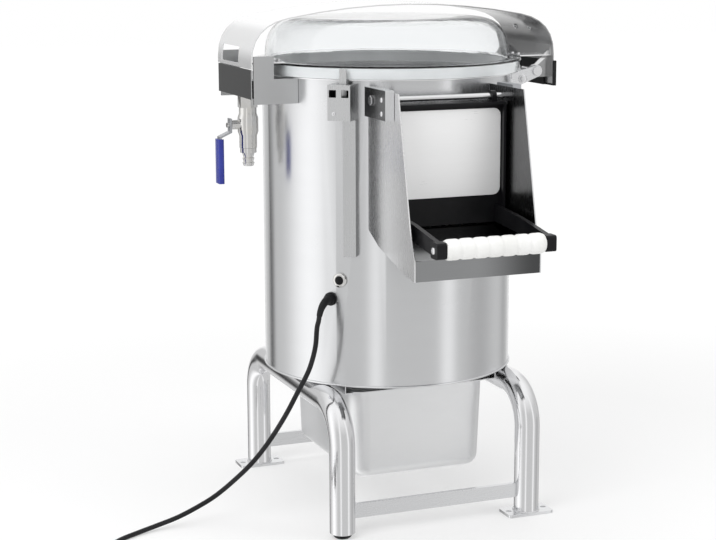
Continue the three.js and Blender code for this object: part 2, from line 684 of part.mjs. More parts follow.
function peelPan() {
  const { wall, rim, corner, floorRound, draft } = pan;
  const halfX = pan.rimWidth / 2 - pan.rimReach;
  const halfY = pan.rimLength / 2 - pan.rimReach;
  const ring = (inset, radius, z) => rounded(halfX - inset, halfY - inset, radius).map(([x, y]) => [x, y, z]);
  const brim = (z) => ring(-pan.rimReach, pan.rimCorner, z);
  // The round between the floor and the walls, outside or, a wall further in, inside
  const round = (thick) => Array.from({ length: steps.rounding + 1 }, (_, i) => {
    const angle = (i / steps.rounding) * (Math.PI / 2);
    const radius = floorRound - thick;
    const tuck = thick + radius * (1 - Math.sin(angle));
    return ring(draft + tuck, corner - tuck, panLow + thick + radius * (1 - Math.cos(angle)));
  });
  return lofted([
    ...round(0), ring(0, corner, panRimTop - rim), brim(panRimTop - rim), brim(panRimTop),
    ring(wall, corner - wall, panRimTop), ...round(wall).reverse(),
  ]);
}

function trayRail() {
  const top = drum.bottom - gap;
  const inner = pan.rimWidth / 2 + rail.side;
  const outer = inner + rail.thickness;
  const foot = panRimTop - pan.rim - gap;
  const lipIn = pan.rimWidth / 2 - pan.rimReach + rail.lipClear;
  const profile = [
    [outer, foot - rail.thickness], [outer, top], [lipIn, top], [lipIn, top - rail.thickness],
    [inner, top - rail.thickness], [inner, foot], [lipIn, foot], [lipIn, foot - rail.thickness],
  ];
  return prism("y", profile, [-pan.rimLength / 2 + rail.run, pan.rimLength / 2 + rail.run]);
}

// Outlet, chute and door

const frameHalf = chuteHalf - chute.plate - gap;
const frameLow = sill - outlet.frameMargin;
const frameHigh = outletHead + outlet.frameMargin;

function outletFrame() {
  const wall = outlet.frameWall;
  const inner = frameHalf - wall;
  const passage = block([-frameHalf, frameHalf], [outletFront, -drum.radius / 2], [frameLow, frameHigh]);
  const bore = block([-inner, inner], [outletFront - overrun, 0], [frameLow + wall, frameHigh - wall]);
  return cut(passage, bore, drumCore());
}

function chuteSide() {
  const point = (reach, height) => [-(drum.radius + reach), height];
  const buried = -(drum.radius - chuteHalf / 2);
  const profile = [
    [buried, drumTop - chute.topDrop], point(chute.topReach, drumTop - chute.topDrop),
    point(chute.kneeReach, sill - chute.kneeBelowSill), point(chute.noseReach, sill - chute.noseBelowSill),
    point(chute.noseReach, sill - chute.hemBelowSill), point(chute.throatReach, sill - chute.throatBelowSill),
    point(chute.bellyReach, sill - chute.bellyBelowSill), [buried, sill - chute.heelBelowSill],
  ];
  const plate = prism("x", profile, [-chuteHalf, -chuteHalf + chute.plate]);
  const pin = rod("x", door.pinRadius + gap, [-chuteHalf - overrun, 0], { y: pivotY, z: pivotZ });
  return cut(plate, pin, drumCore());
}

// The floor slopes to the front and folds down into an apron.
function chuteFloor() {
  const nose = -(drum.radius + chute.noseReach) + chute.floorSheet / 2;
  const line = [
    [-(drum.radius + chute.floorBackReach), sill - chute.floorBackBelowSill],
    [nose, sill - chute.noseBelowSill], [nose, sill - chute.hemBelowSill],
  ];
  return cut(prism("x", sheet(line, chute.floorSheet), [-frameHalf, frameHalf]), drumCore());
}

function doorSeal() {
  const half = frameHalf - outlet.frameWall / 2;
  const inner = half - door.sealWidth;
  const back = outletFront - gap;
  const ring = block([-half, half], [back - door.seal, back], [frameLow, frameHigh]);
  const hole = block([-inner, inner], [back - door.seal - overrun, back + overrun],
    [frameLow + door.sealWidth, frameHigh - door.sealWidth]);
  return cut(ring, hole);
}

// The moulded door carries a raised rim, and two ears that hang it on its pin.
function doorFrame() {
  const front = doorFront - door.rimProud;
  const plate = block([-doorHalf, doorHalf], [doorFront, doorBack], [doorFoot, doorTop]);
  const rims = [[-doorHalf, door.rim - doorHalf], [doorHalf - door.rim, doorHalf]]
    .map((span) => block(span, [front, doorBack], [doorFoot, doorTop]));
  const brow = block([-doorHalf, doorHalf], [front, doorBack], [doorTop - door.rim, doorTop]);
  const ears = [-1, 1].map((side) => {
    const from = side * (doorHalf - door.earInset) - door.earThickness / 2;
    const span = [from, from + door.earThickness];
    const arm = block(span, [doorFront, pivotY + door.earRadius / 2], [doorTop - door.rim, pivotZ]);
    return join(arm, rod("x", door.earRadius, span, { y: pivotY, z: pivotZ }));
  });
  const pinHole = rod("x", door.pinRadius + gap, [-doorHalf - overrun, doorHalf + overrun],
    { y: pivotY, z: pivotZ });
  return cut(join(plate, ...rims, brow, ...ears), pinHole);
}

function doorPanel() {
  const low = doorFoot + door.panelFootMargin;
  const high = doorTop - door.panelTopMargin;
  const middle = [0, (high + low) / 2];
  const outline = rounded(doorHalf - door.panelInset, (high - low) / 2, door.panelCorner, middle);
  return prism("y", outline, [doorFront - gap - door.panel, doorFront - gap]);
}

// The block on the -X side that the door's pin runs in, which reaches ahead of the pin by its lead.
function hingeBlock(lead) {
  const top = pivotZ + door.blockRise;
  const body = block([-chuteHalf - gap - door.blockWidth, -chuteHalf - gap],
    [pivotY - lead, pivotY + door.blockTail], [top - door.blockHeight, top]);
  const pin = rod("x", door.pinRadius + gap, [-drum.radius, 0], { y: pivotY, z: pivotZ });
  return cut(body, pin, drumCore());
}

function doorPin() {
  const end = chuteHalf + gap + door.blockWidth + gap;
  const bar = rod("x", door.pinRadius, [-end, end], { y: pivotY, z: pivotZ });
  const heads = [[-end - door.pinHead, -end], [end, end + door.pinHead]]
    .map((span) => rod("x", door.pinHeadRadius, span, { y: pivotY, z: pivotZ }, facets.hexagon));
  return join(bar, ...heads);
}

function handleArm() {
  const root = doorFront - gap;
  const middle = root + (gripY - root) * handle.kneeShare;
  const halfTip = handle.armTipHeight / 2;
  const half = handle.armThickness / 2;
  const profile = [
    [root, doorFoot], [root, doorFoot + handle.armHeight],
    [middle, (doorFoot + handle.armHeight + gripZ + halfTip) / 2 + handle.kneeSag],
    [gripY, gripZ + halfTip], [gripY, gripZ - halfTip],
    [middle, (doorFoot + gripZ - halfTip) / 2 + handle.kneeSag],
  ];
  const arm = prism("x", profile, [-armMiddle - half, -armMiddle + half]);
  const end = prism("x", rounded(handle.blockHalf, handle.blockHalf, handle.blockHalf / 3, [gripY, gripZ]),
    [-gripBlock, -gripBlock + handle.blockWidth]);
  const socket = rod("x", handle.rodRadius + gap, [-gripBlock + handle.rodEnd, 0], { y: gripY, z: gripZ });
  return cut(join(arm, end), socket);
}

function ribbedGrip() {
  const half = gripBlock - handle.blockWidth - gap;
  const bore = handle.rodRadius + gap;
  const step = (2 * half) / handle.ribs;
  const margin = ((1 - handle.ribShare) / 2) * step;
  const crest = handle.gripRadius + handle.ribRise;
  const profile = [[bore, -half]];
  for (let i = 0; i < handle.ribs; i++) {
    const start = -half + i * step;
    profile.push([handle.gripRadius, start], [crest, start + margin], [crest, start + step - margin]);
  }
  profile.push([handle.gripRadius, half], [bore, half], [bore, -half]);
  return turned(profile, facets.small).rotateY(Math.PI / 2).translate(0, gripY, gripZ);
}

function gripRod() {
  const end = gripBlock - handle.rodEnd - gap;
  return rod("x", handle.rodRadius, [-end, end], { y: gripY, z: gripZ });
}

// Cover: the clear lid, its seal and the arch that carries and hinges it

function clearLid() {
  const half = lid.wall / 2;
  const top = flangeTop + lid.rise;
  const wall = lidRadius - lid.wallInset - half;
  const flat = wall + half - lid.topInset;
  const shoulder = new THREE.CubicBezierCurve(
    new THREE.Vector2(wall, flangeTop), new THREE.Vector2(wall, flangeTop + lid.rise * lid.wallShare),
    new THREE.Vector2(wall - (wall - flat) * lid.shoulderShare, top), new THREE.Vector2(flat, top),
  ).getPoints(steps.curve).map((p) => [p.x, p.y]);
  const line = [
    [lidRadius - half, skirtBottom], [lidRadius - half, flangeTop - half], [wall, flangeTop - half],
    ...shoulder, [0, top],
  ];
  const skin = sheet(line, lid.wall);
  return turned([...skin, skin[0]], facets.large);
}

function lidSeal() {
  const outer = drum.radius + topRing.overhang;
  return tubeRing(outer - lid.sealWidth, outer, [ringTop + gap, flangeTop - lid.wall - gap]);
}

// Half of the arch's middle line, from the crown down to the leg on the +X side.
function archHalf(footZ) {
  const shoulder = archSpan - arch.shoulderInset;
  const crown = (x) => archTop - (x * x) / (2 * arch.crownRadius);
  const corner = crown(shoulder) - (shoulder / arch.crownRadius) * arch.shoulderInset;
  const bend = new THREE.QuadraticBezierCurve(
    new THREE.Vector2(shoulder, crown(shoulder)), new THREE.Vector2(archSpan, corner),
    new THREE.Vector2(archSpan, drumTop + arch.legRise),
  ).getPoints(steps.curve).map((p) => [p.x, p.y]);
  const flat = [1, 2, 3].map((i) => [(shoulder * i) / 4, crown((shoulder * i) / 4)]);
  return [...flat, ...bend, [archSpan, footZ]];
}

// An angle that bolts the lid's flange to a leg of the arch.
function lidBracket() {
  const half = arch.bracketSheet / 2;
  const low = flangeTop + gap;
  const inLeg = archSpan - arch.sheet / 2;
  const far = arch.halfDepth - arch.bracketInset;
  const line = [
    [inLeg - half, low + arch.bracketRise], [inLeg - half, low + half],
    [lidRadius - arch.bracketLanding, low + half],
  ];
  return prism("y", sheet(line, arch.bracketSheet), [-far, arch.bracketLength - far]);
}

function hingeEar() {
  const outer = arch.halfDepth - hinge.earInset;
  const inLeg = archSpan - arch.sheet / 4;
  const span = [outer - hinge.earThickness, outer];
  const eye = rod("y", hinge.earRadius, span, { x: hingeX, z: hingeZ });
  const web = prism("y", [
    [hingeX, hingeZ - hinge.earRadius], [inLeg, hingeZ - hinge.earRadius],
    [inLeg, hingeZ + hinge.earWebRise], [inLeg - hinge.earRadius / 2, hingeZ + hinge.earWebRise],
    [hingeX, hingeZ + hinge.earRadius],
  ], span);
  return join(eye, web);
}

function coverArch() {
  const right = archHalf(archFoot);
  const left = archHalf(lipTop + arch.leftFootGap).map(([x, z]) => [-x, z]).reverse();
  const line = [...left, [0, archTop], ...right];
  const band = prism("y", sheet(line, arch.sheet), [-arch.halfDepth, arch.halfDepth]);
  const holeLow = drumTop + arch.holeFootRise;
  const holeTo = arch.halfDepth - arch.holeInset;
  const hole = block([-archSpan - overrun, arch.shoulderInset - archSpan], [holeTo - arch.holeLength, holeTo],
    [holeLow, holeLow + arch.holeHeight]);
  const ear = hingeEar();
  const pinHole = rod("y", hinge.pinRadius + gap, [-arch.halfDepth, arch.halfDepth],
    { x: hingeX, z: hingeZ });
  const bracket = lidBracket();
  return cut(join(cut(band, hole), ear, flipY(ear), bracket, flipX(bracket)), pinHole);
}

// A moulded cap over the foot of the right leg: an outer wall, a floor, two ends and a pad between the ears
function archFootCap() {
  const innerFace = archSpan - arch.sheet / 2 - gap;
  const outerFace = archSpan + arch.sheet / 2 + gap;
  const padFace = innerFace - footCap.inner;
  const slotEnd = arch.halfDepth + gap;
  const end = slotEnd + footCap.outer;
  const low = archFoot - gap - footCap.floor;
  const high = low + footCap.height;
  const shell = block([padFace, outerFace + footCap.outer], [-end, end], [low, high]);
  const leg = block([innerFace, outerFace], [-slotEnd, slotEnd], [archFoot - gap, high + overrun]);
  const clear = block([padFace - overrun, innerFace], [footCap.innerHalf, end + overrun],
    [low - overrun, high + overrun]);
  return cut(shell, leg, clear, flipY(clear));
}

function hingeLug() {
  const outer = arch.halfDepth - hinge.lugInset;
  const span = [outer - hinge.lugThickness, outer];
  const root = Math.sqrt(drum.radius ** 2 - outer ** 2) - hinge.lugRadius;
  const low = drumTop - hinge.lugDrop;
  const waist = hinge.lugRadius * hinge.lugWaistShare;
  const eye = rod("y", hinge.lugRadius, span, { x: hingeX, z: hingeZ });
  const strap = prism("y", [
    [root, low], [root + 2 * hinge.lugRadius, low], [hingeX + hinge.lugRadius / 2, hingeZ - waist],
    [hingeX - hinge.lugRadius / 2, hingeZ + waist], [root, low + 2 * hinge.lugRadius],
  ], span);
  const pin = rod("y", hinge.pinRadius + gap, [0, arch.halfDepth + overrun], { x: hingeX, z: hingeZ });
  return cut(join(eye, strap), pin, drumCore());
}

function hingePin() {
  const end = arch.halfDepth - hinge.lugInset + gap;
  const bar = rod("y", hinge.pinRadius, [-end, end], { x: hingeX, z: hingeZ });
  const heads = [[-end - hinge.pinHead, -end], [end, end + hinge.pinHead]]
    .map((span) => rod("y", hinge.pinRadius + hinge.pinHead, span, { x: hingeX, z: hingeZ }));
  return join(bar, ...heads);
}

// Water inlet: a folded shelf on the left with its two gussets, the valve below it and the pipe into the drum

function inletShelf() {
  const { sheet: thick, gussetThickness: end } = shelf;
  const half = arch.halfDepth - shelf.endInset;
  const outer = -archSpan - arch.sheet / 2;
  const inside = -Math.sqrt(drum.radius ** 2 - half ** 2) + overrun;
  const profile = [
    [outer, lipTop], [outer, shelfFloor], [inside, shelfFloor], [inside, shelfFloor + thick],
    [outer + thick, shelfFloor + thick], [outer + thick, drumTop - thick], [inside, drumTop - thick],
    [inside, drumTop], [outer + thick, drumTop], [outer + thick, lipTop],
  ];
  const channel = prism("y", profile, [-half, half]);
  const low = drumTop - shelf.gussetLow;
  const high = drumTop + shelf.gussetTop;
  const back = outer + 2 * thick;
  const gusset = prism("y", [
    [back, low], [inside, low], [inside, drumTop], [back + shelf.gussetUpright, drumTop],
    [back + shelf.gussetUpright, high], [back, high],
  ], [-half - end / 2, -half + end / 2]);
  const through = [shelfFloor - overrun, shelfFloor + thick + overrun];
  const pipe = rod("z", valve.pipeRadius + gap, through, { x: valveX });
  return cut(join(channel, gusset, flipY(gusset)), drumCore(), pipe);
}

function inletElbow() {
  const { pipeRadius, pipeBore, nozzleRadius, nozzleLength } = valve;
  const inner = -drumInner + nozzleLength / 2;
  const end = inner + nozzleLength;
  const ball = (radius) =>
    new THREE.SphereGeometry(radius, facets.small, facets.hole).translate(valveX, 0, pipeLine);
  const upright = rod("z", pipeRadius, [pipeFoot, pipeLine], { x: valveX });
  const level = rod("x", pipeRadius, [valveX, inner + nozzleLength / 2], { z: pipeLine });
  const head = rod("x", nozzleRadius, [inner, end], { z: pipeLine });
  const boreUp = rod("z", pipeBore, [pipeFoot - overrun, pipeLine], { x: valveX });
  const boreOn = rod("x", pipeBore, [valveX, end - nozzleLength / 4], { z: pipeLine });
  const jet = rod("x", pipeBore / 2, [inner, end + overrun], { z: pipeLine });
  return cut(join(upright, ball(pipeRadius), level, head), boreUp, ball(pipeBore), boreOn, jet);
}

function valveBody() {
  const { bodyRadius, bodyEnd, bore, pipeRadius } = valve;
  const swell = valve.ballRadius + bodyEnd / 4;
  const waist = swell * valve.waistShare;
  const neck = swell * valve.neckShare;
  const seat = pipeFoot - gap;
  const shell = turned([
    [bore, valveBottom], [bodyEnd, valveBottom], [bodyEnd, stemLine - neck], [bodyRadius, stemLine - waist],
    [bodyRadius, stemLine + waist], [bodyEnd, stemLine + neck], [bodyEnd, nutBottom + gap],
    [pipeRadius + gap, nutBottom + gap], [pipeRadius + gap, seat], [bore, seat], [bore, valveBottom],
  ], facets.small).translate(valveX, 0, 0);
  const nut = rod("z", valve.nutRadius, [nutBottom, shelfFloor - gap], { x: valveX }, facets.hexagon);
  const bossEnd = valveX - bodyRadius - valve.boss;
  const boss = rod("x", valve.bossRadius, [bossEnd, valveX - bore - gap], { z: stemLine });
  const cavity = new THREE.SphereGeometry(valve.ballRadius + valve.ballClear, facets.small, facets.hole)
    .translate(valveX, 0, stemLine);
  const stemHole = rod("x", valve.stemRadius + gap, [bossEnd - overrun, valveX], { z: stemLine });
  const flow = rod("z", bore, [valveBottom - overrun, seat + overrun], { x: valveX });
  const socket = rod("z", pipeRadius + gap, [seat, shelfFloor + overrun], { x: valveX });
  return cut(join(shell, nut, boss), cavity, stemHole, flow, socket);
}

// The ball and the stem that turns it are one piece here, bored through for the water.
function valveBall() {
  const { ballRadius } = valve;
  const ball = new THREE.SphereGeometry(ballRadius, facets.small, facets.hole)
    .translate(valveX, 0, stemLine);
  const stem = rod("x", valve.stemRadius, [stemEnd, valveX - ballRadius / 2], { z: stemLine });
  const bore = rod("z", valve.ballBore, [stemLine - 2 * ballRadius, stemLine + 2 * ballRadius],
    { x: valveX });
  return cut(join(ball, stem), bore);
}

function valveLever() {
  const half = valve.strip / 2;
  const line = [
    [leverIn - half, stemLine + valve.stripTop], [leverIn - half, stemLine - valve.stripTop],
    [leverOut - half, stemLine - valve.stripTop - valve.stripBend],
    [leverOut - half, stemLine - valve.stripLength],
  ];
  const strip = prism("y", sheet(line, valve.strip), [-valve.stripWidth / 2, valve.stripWidth / 2]);
  const hole = rod("x", valve.stemRadius + gap, [leverOut - overrun, leverIn + overrun], { z: stemLine });
  return cut(strip, hole);
}

function leverSleeve() {
  const wall = valve.sleeveWall;
  const half = valve.stripWidth / 2 + gap;
  const low = stemLine - valve.stripLength;
  const high = low + valve.sleeveLength - wall;
  const thick = valve.strip + 2 * gap;
  const x = leverOut - valve.strip / 2;
  const outline = rounded(thick / 2 + wall, half + wall, wall, [x, 0], steps.rounding);
  const outer = prism("z", outline, [low - wall, high]);
  const pocket = block([x - thick / 2, x + thick / 2], [-half, half], [low - gap, high + overrun]);
  return cut(outer, pocket);
}

function hoseTail() {
  const top = valveBottom - gap;
  const low = top - tail.length;
  const { radius, barb, barbs, barbShare, bore, collar, collarRadius } = tail;
  const step = (tail.length - collar) / barbs;
  const profile = [[bore, low]];
  for (let i = 0; i < barbs; i++) {
    profile.push([radius, low + i * step], [radius + barb, low + (i + barbShare) * step]);
    profile.push([radius + (i === barbs - 1 ? barb : 0), low + (i + 1) * step]);
  }
  profile.push([collarRadius, top - collar], [collarRadius, top], [bore, top], [bore, low]);
  return turned(profile, facets.small).translate(valveX, 0, 0);
}

// Lid switch: a box on the drum that the lid's tongue enters, and the duct that takes its wires down

const around = (geometry, angle) => geometry.rotateZ(THREE.MathUtils.degToRad(angle));

function switchBox() {
  const { halfWidth: half, wall, depth } = guard;
  const front = -(drum.radius + depth);
  const shell = block([-half, half], [front, -drum.radius + depth / 2], [guardBottom, guardTop]);
  const inside = block([-half + wall, half - wall], [front + wall, 0], [guardBottom + wall, guardTop - wall]);
  const windowTop = guardTop - guard.windowDrop;
  const windows = [-guard.windowInset - guard.windowSize, guard.windowInset].map((from) =>
    block([from, from + guard.windowSize], [front - overrun, front + wall + overrun],
      [windowTop - guard.windowSize, windowTop]));
  const slotHalf = guard.tongueHalfWidth + guard.slotClear;
  const slotMiddle = -(lidRadius + gap + guard.tongue / 2);
  const slot = block([-slotHalf, slotHalf],
    [slotMiddle - guard.tongue / 2 - guard.slotClear, slotMiddle + guard.tongue / 2 + guard.slotClear],
    [guardTop - wall - overrun, guardTop + overrun]);
  const wires = rod("z", duct.wireHole, [guardBottom - overrun, guardBottom + wall + overrun],
    { y: -(drum.radius + duct.depth / 2) }, facets.hole);
  return cut(around(cut(shell, inside, slot, ...windows), guardAngle), around(wires, ductAngle), drumCore());
}

function microSwitch() {
  const back = -(drum.radius + guard.wall);
  const half = guard.halfWidth - guard.wall - gap;
  const high = guardTop - guard.switchDrop;
  const body = block([-half, half], [back - guard.switchDepth, back], [high - guard.switchHeight, high]);
  return around(body, guardAngle);
}

function switchTongue() {
  const inner = -(lidRadius + gap);
  const low = guardTop - guard.tongueDrop;
  const strip = block([-guard.tongueHalfWidth, guard.tongueHalfWidth], [inner - guard.tongue, inner],
    [low, skirtBottom + guard.tongueRise]);
  return around(strip, guardAngle);
}

function cableDuct() {
  const { halfWidth: half, depth, wall } = duct;
  const top = guardBottom - gap;
  const front = -(drum.radius + depth);
  const shell = block([-half, half], [front, -drum.radius + depth], [ductFoot, top]);
  const inside = block([-half + wall, half - wall], [front + wall, 0], [ductFoot + wall, top + overrun]);
  return cut(around(cut(shell, inside), ductAngle), drumCore());
}

// Button and cord outlet on the drum's left front

function buttonBezel() {
  const start = drum.radius + gap;
  const { neckRadius, bezelRadius, bezel, bore, neckLength } = button;
  const profile = [
    [bore, start - neckLength], [neckRadius, start - neckLength], [neckRadius, start], [bezelRadius, start],
    [bezelRadius, start + bezel / 2], [bezelRadius - bezel / 2, start + bezel], [bore, start + bezel],
    [bore, start - neckLength],
  ];
  return facing(turned(profile, facets.small), buttonAngle, buttonHeight);
}

function pushButton() {
  const out = drum.radius + gap + button.bezel + button.capProud;
  const inside = drum.radius - button.neckLength;
  const soft = button.capProud / 2;
  const profile = [
    [0, inside], [button.capRadius, inside], [button.capRadius, out - soft],
    [button.capRadius - soft, out], [0, out],
  ];
  return facing(turned(profile, facets.small), buttonAngle, buttonHeight);
}

function cableGland() {
  const start = drum.radius + gap;
  const flat = start + gland.flange;
  const profile = [
    [0, start - gland.neckLength], [gland.neckRadius, start - gland.neckLength], [gland.neckRadius, start],
    [gland.flangeRadius, start], [gland.flangeRadius, flat], [gland.domeRadius, flat],
    [gland.domeRadius, glandFace - gland.dome / 3], [gland.domeRadius - gland.dome / 3, glandFace],
    [0, glandFace],
  ];
  return facing(turned(profile, facets.small), glandAngle, glandHeight);
}

// Stations of the strain relief, which bends from level to steeply down in the gland's upright plane.
// Each has its centre, the way the cord runs there, and the two directions across it.
function reliefStations() {
  const out = new THREE.Vector3(0, -1, 0).applyAxisAngle(directions.z, THREE.MathUtils.degToRad(glandAngle));
  const start = out.clone().multiplyScalar(glandFace + gap).setZ(glandHeight);
  const across = out.clone().cross(directions.z);
  return Array.from({ length: relief.stations + 1 }, (_, i) => {
    const angle = THREE.MathUtils.degToRad((relief.turn * i) / relief.stations);
    const along = out.clone().multiplyScalar(Math.cos(angle)).addScaledVector(directions.z, -Math.sin(angle));
    const over = along.clone().cross(across);
    const centre = start.clone().addScaledVector(out, relief.bendRadius * Math.sin(angle))
      .addScaledVector(directions.z, -relief.bendRadius * (1 - Math.cos(angle)));
    return { centre, along, across, over };
  });
}

function strainRelief() {
  return lofted(reliefStations().map(({ centre, across, over }, i) => {
    const radius = relief.rootRadius + ((relief.tipRadius - relief.rootRadius) * i) / relief.stations;
    return circlePoints(radius, facets.small).map((p) =>
      centre.clone().addScaledVector(across, p.x).addScaledVector(over, p.y).toArray());
  }));
}

// Cord: a free run from the relief to the floor, a tied coil out of the camera's view and a moulded plug

const coilRadius = cord.turnDiameter / 2 + (cord.pitch * cord.turnsPerLayer) / 2;
const coilLift = cord.diameter / 2 + cord.tieWall + 2 * gap;
const coilEntry = new THREE.Vector3(cord.coilX - coilRadius, cord.coilY, coilLift);
const plugStart = new THREE.Vector3(coilEntry.x, coilEntry.y - cord.tailLength, plug.bodyRadius + gap);

// The hand-laid points of the run, between its straight ends.
const cordRoute = [
  [-191, -173, 339], [-196, -179, 311], [-204, -180, 283], [-212, -177, 262], [-223, -171, 238],
  [-240, -154, 194], [-260, -130, 147], [-282, -109, 108], [-308, -88, 74], [-337, -75, 47],
  [-367, -68, 29], [-398, -66, 16], [-430, -70, 9], [-466, -82, 5], [-504, -105, 4.3],
  [-532, -138, 4.3], [-551, -175, 4.8], [-558.5, -205, 5.6],
];

function cordLine() {
  const { centre, along } = reliefStations().at(-1);
  const start = centre.clone().addScaledVector(along, gap);
  const end = coilEntry.clone().add(new THREE.Vector3(0, cord.diameter + gap, 0));
  const points = [
    start, start.clone().addScaledVector(along, cord.diameter),
    ...cordRoute.map((place) => new THREE.Vector3(...place)),
    end.clone().add(new THREE.Vector3(0, cord.diameter, 0)), end,
  ];
  const curve = new THREE.CatmullRomCurve3(points);
  return curve.getSpacedPoints(Math.round(curve.getLength() / (cord.stepDiameters * cord.diameter)));
}

// Two flat spirals, one on the other: in along the floor, up a layer as the spiral turns back, and out again.
function coilLine() {
  const { turnsPerLayer, pitch, loopSteps, diameter, climbTurns } = cord;
  const line = [coilEntry.clone().add(new THREE.Vector3(0, diameter, 0))];
  for (let i = 0; i <= 2 * turnsPerLayer * loopSteps; i++) {
    const turns = i / loopSteps;
    const radius = coilRadius - pitch * (turnsPerLayer - Math.abs(turnsPerLayer - turns));
    const half = climbTurns / 2;
    const climb = THREE.MathUtils.smoothstep(turns, turnsPerLayer - half, turnsPerLayer + half);
    const angle = Math.PI + 2 * Math.PI * turns;
    line.push(new THREE.Vector3(
      cord.coilX + radius * Math.cos(angle),
      cord.coilY + radius * Math.sin(angle),
      coilLift + pitch * climb,
    ));
  }
  const top = coilLift + pitch;
  const rise = plugStart.z - top;
  const length = cord.tailLength - gap;
  const end = cord.tailShares.map(([along, up]) =>
    new THREE.Vector3(coilEntry.x, coilEntry.y - along * length, top + up * rise));
  return [...line, ...end];
}

// The least gap between parts of a tube that aren't next to each other along it.
function leastGapToItself(line, diameter) {
  const parts = 4;
  const fine = [];
  for (let i = 0; i < line.length - 1; i++) {
    for (let j = 0; j < parts; j++) fine.push(line[i].clone().lerp(line[i + 1], j / parts));
  }
  let reach = 0;
  const along = fine.map((point, i) => (reach += i ? point.distanceTo(fine[i - 1]) : 0));
  let least = Infinity;
  fine.forEach((a, i) => fine.slice(i + 1).forEach((b, j) => {
    const apart = along[i + 1 + j] - along[i];
    if (apart > 2 * Math.PI * diameter) least = Math.min(least, a.distanceTo(b) - diameter);
  }));
  return least;
}

function cordTie() {
  const { turnsPerLayer, pitch, diameter, tieWall, tieWidth, tieRoom } = cord;
  const mid = cord.coilX + coilRadius - (pitch * turnsPerLayer) / 2;
  const halfX = (pitch * (turnsPerLayer - 1)) / 2 + diameter / 2 + tieRoom;
  const halfZ = pitch / 2 + diameter / 2 + gap;
  const midZ = coilLift + pitch / 2;
  const band = outlineOf(rounded(halfX + tieWall, halfZ + tieWall, tieWall + gap, [mid, midZ], steps.blunt));
  band.holes.push(new THREE.Path(rounded(halfX, halfZ, gap, [mid, midZ], steps.blunt)
    .map(([a, b]) => new THREE.Vector2(a, b)).reverse()));
  return prism("y", band, [cord.coilY - tieWidth / 2, cord.coilY + tieWidth / 2]);
}

function mouldedPlug() {
  const { bodyRadius, body, neckRadius, neck, pinRadius, pin, pinSpacing, rim } = plug;
  const face = neck + body;
  const shell = turned([
    [0, 0], [neckRadius - rim, 0], [neckRadius, rim], [neckRadius + rim, neck],
    [bodyRadius - 2 * rim, neck + 2 * rim],
    [bodyRadius, neck + 4 * rim], [bodyRadius, face - rim], [bodyRadius - rim, face], [0, face],
  ], facets.small);
  const pins = [-1, 1].map((side) =>
    rod("z", pinRadius, [face - rim, face + pin], { x: (side * pinSpacing) / 2 }, facets.hole));
  return join(shell, ...pins).rotateX(Math.PI / 2).translate(plugStart.x, plugStart.y, plugStart.z);
}

add("body_shell", bodyShell(), "stainless");
add("base_plate", basePlate(), "darkSteel");
add("chamber_pan", chamberPan(), "stainless");
add("abrasive_liner", abrasiveLiner(), "grit");
add("top_ring", ringOnTop(), "stainless");
add("bearing_housing", bearingHousing(), "castIron");
add("motor_housing", motorHousing(), "motorPaint");
add("v_belt", driveBelt(), "rubber");
add("abrasive_disc", abrasiveDisc(), "grit");
add("drive_shaft", driveShaft(), "darkSteel");
add("large_pulley", pulley(bigPulley.radius, shaft.radius + gap, facets.medium), "castIron");
add("motor_rotor", motorRotor(), "castIron");

add("side_frame_left", sideFrameLeft(), "polished");
add("side_frame_right", sideFrameRight(), "polished");
add("cross_bar_front", crossBar(-1), "stainless");
add("cross_bar_rear", crossBar(1), "stainless");
add("levelling_foot", levellingFoot(), "black");
add("tray_rail_right", trayRail(), "stainless");
add("tray_rail_left", flipX(trayRail()), "stainless");
add("peel_tray", peelPan(), "stainless");

add("chute_side_left", chuteSide(), "stainless");
add("chute_side_right", flipX(chuteSide()), "stainless");
add("chute_floor", chuteFloor(), "polished");
add("outlet_frame", outletFrame(), "stainless");
add("door_hinge_block_left", hingeBlock(door.leftBlockLead), "stainless");
add("door_hinge_block_right", flipX(hingeBlock(door.rightBlockLead)), "stainless");
add("door_hinge_pin", doorPin(), "polished");
add("door_seal", doorSeal(), "rubber");
add("door_frame", doorFrame(), "black");
add("door_panel", doorPanel(), "stainless");
add("handle_arm_left", handleArm(), "black");
add("handle_arm_right", flipX(handleArm()), "black");
add("handle_grip", ribbedGrip(), "white");
add("handle_rod", gripRod(), "stainless");

add("clear_lid", clearLid(), "clear");
add("lid_seal", lidSeal(), "rubber");
add("cover_arch", coverArch(), "polished");
add("cover_foot_cap", archFootCap(), "rubber");
add("cover_hinge_lug_rear", hingeLug(), "stainless");
add("cover_hinge_lug_front", flipY(hingeLug()), "stainless");
add("cover_hinge_pin", hingePin(), "polished");

add("inlet_shelf", inletShelf(), "stainless");
add("inlet_elbow", inletElbow(), "stainless");
add("valve_body", valveBody(), "nickel");
add("valve_ball", valveBall(), "nickel");
add("valve_lever", valveLever(), "darkSteel");
add("lever_sleeve", leverSleeve(), "blue");
add("hose_tail", hoseTail(), "nickel");

add("switch_box", switchBox(), "stainless");
add("micro_switch", microSwitch(), "black");
add("switch_tongue", switchTongue(), "stainless");
add("cable_duct", cableDuct(), "stainless");
add("button_bezel", buttonBezel(), "nickel");
add("push_button", pushButton(), "black");
add("cable_gland", cableGland(), "black");
add("strain_relief", strainRelief(), "rubber");

const coil = coilLine();
console.log("cord_coil: least gap to itself", leastGapToItself(coil, cord.diameter).toFixed(2), "mm");
add("cord", swept(cordLine(), cord.diameter / 2, cord.sides), "rubber", lead);
add("cord_coil", swept(coil, cord.diameter / 2, cord.loopSides), "rubber", lead);
add("cord_tie", cordTie(), "black", lead);
add("plug", mouldedPlug(), "black", lead);

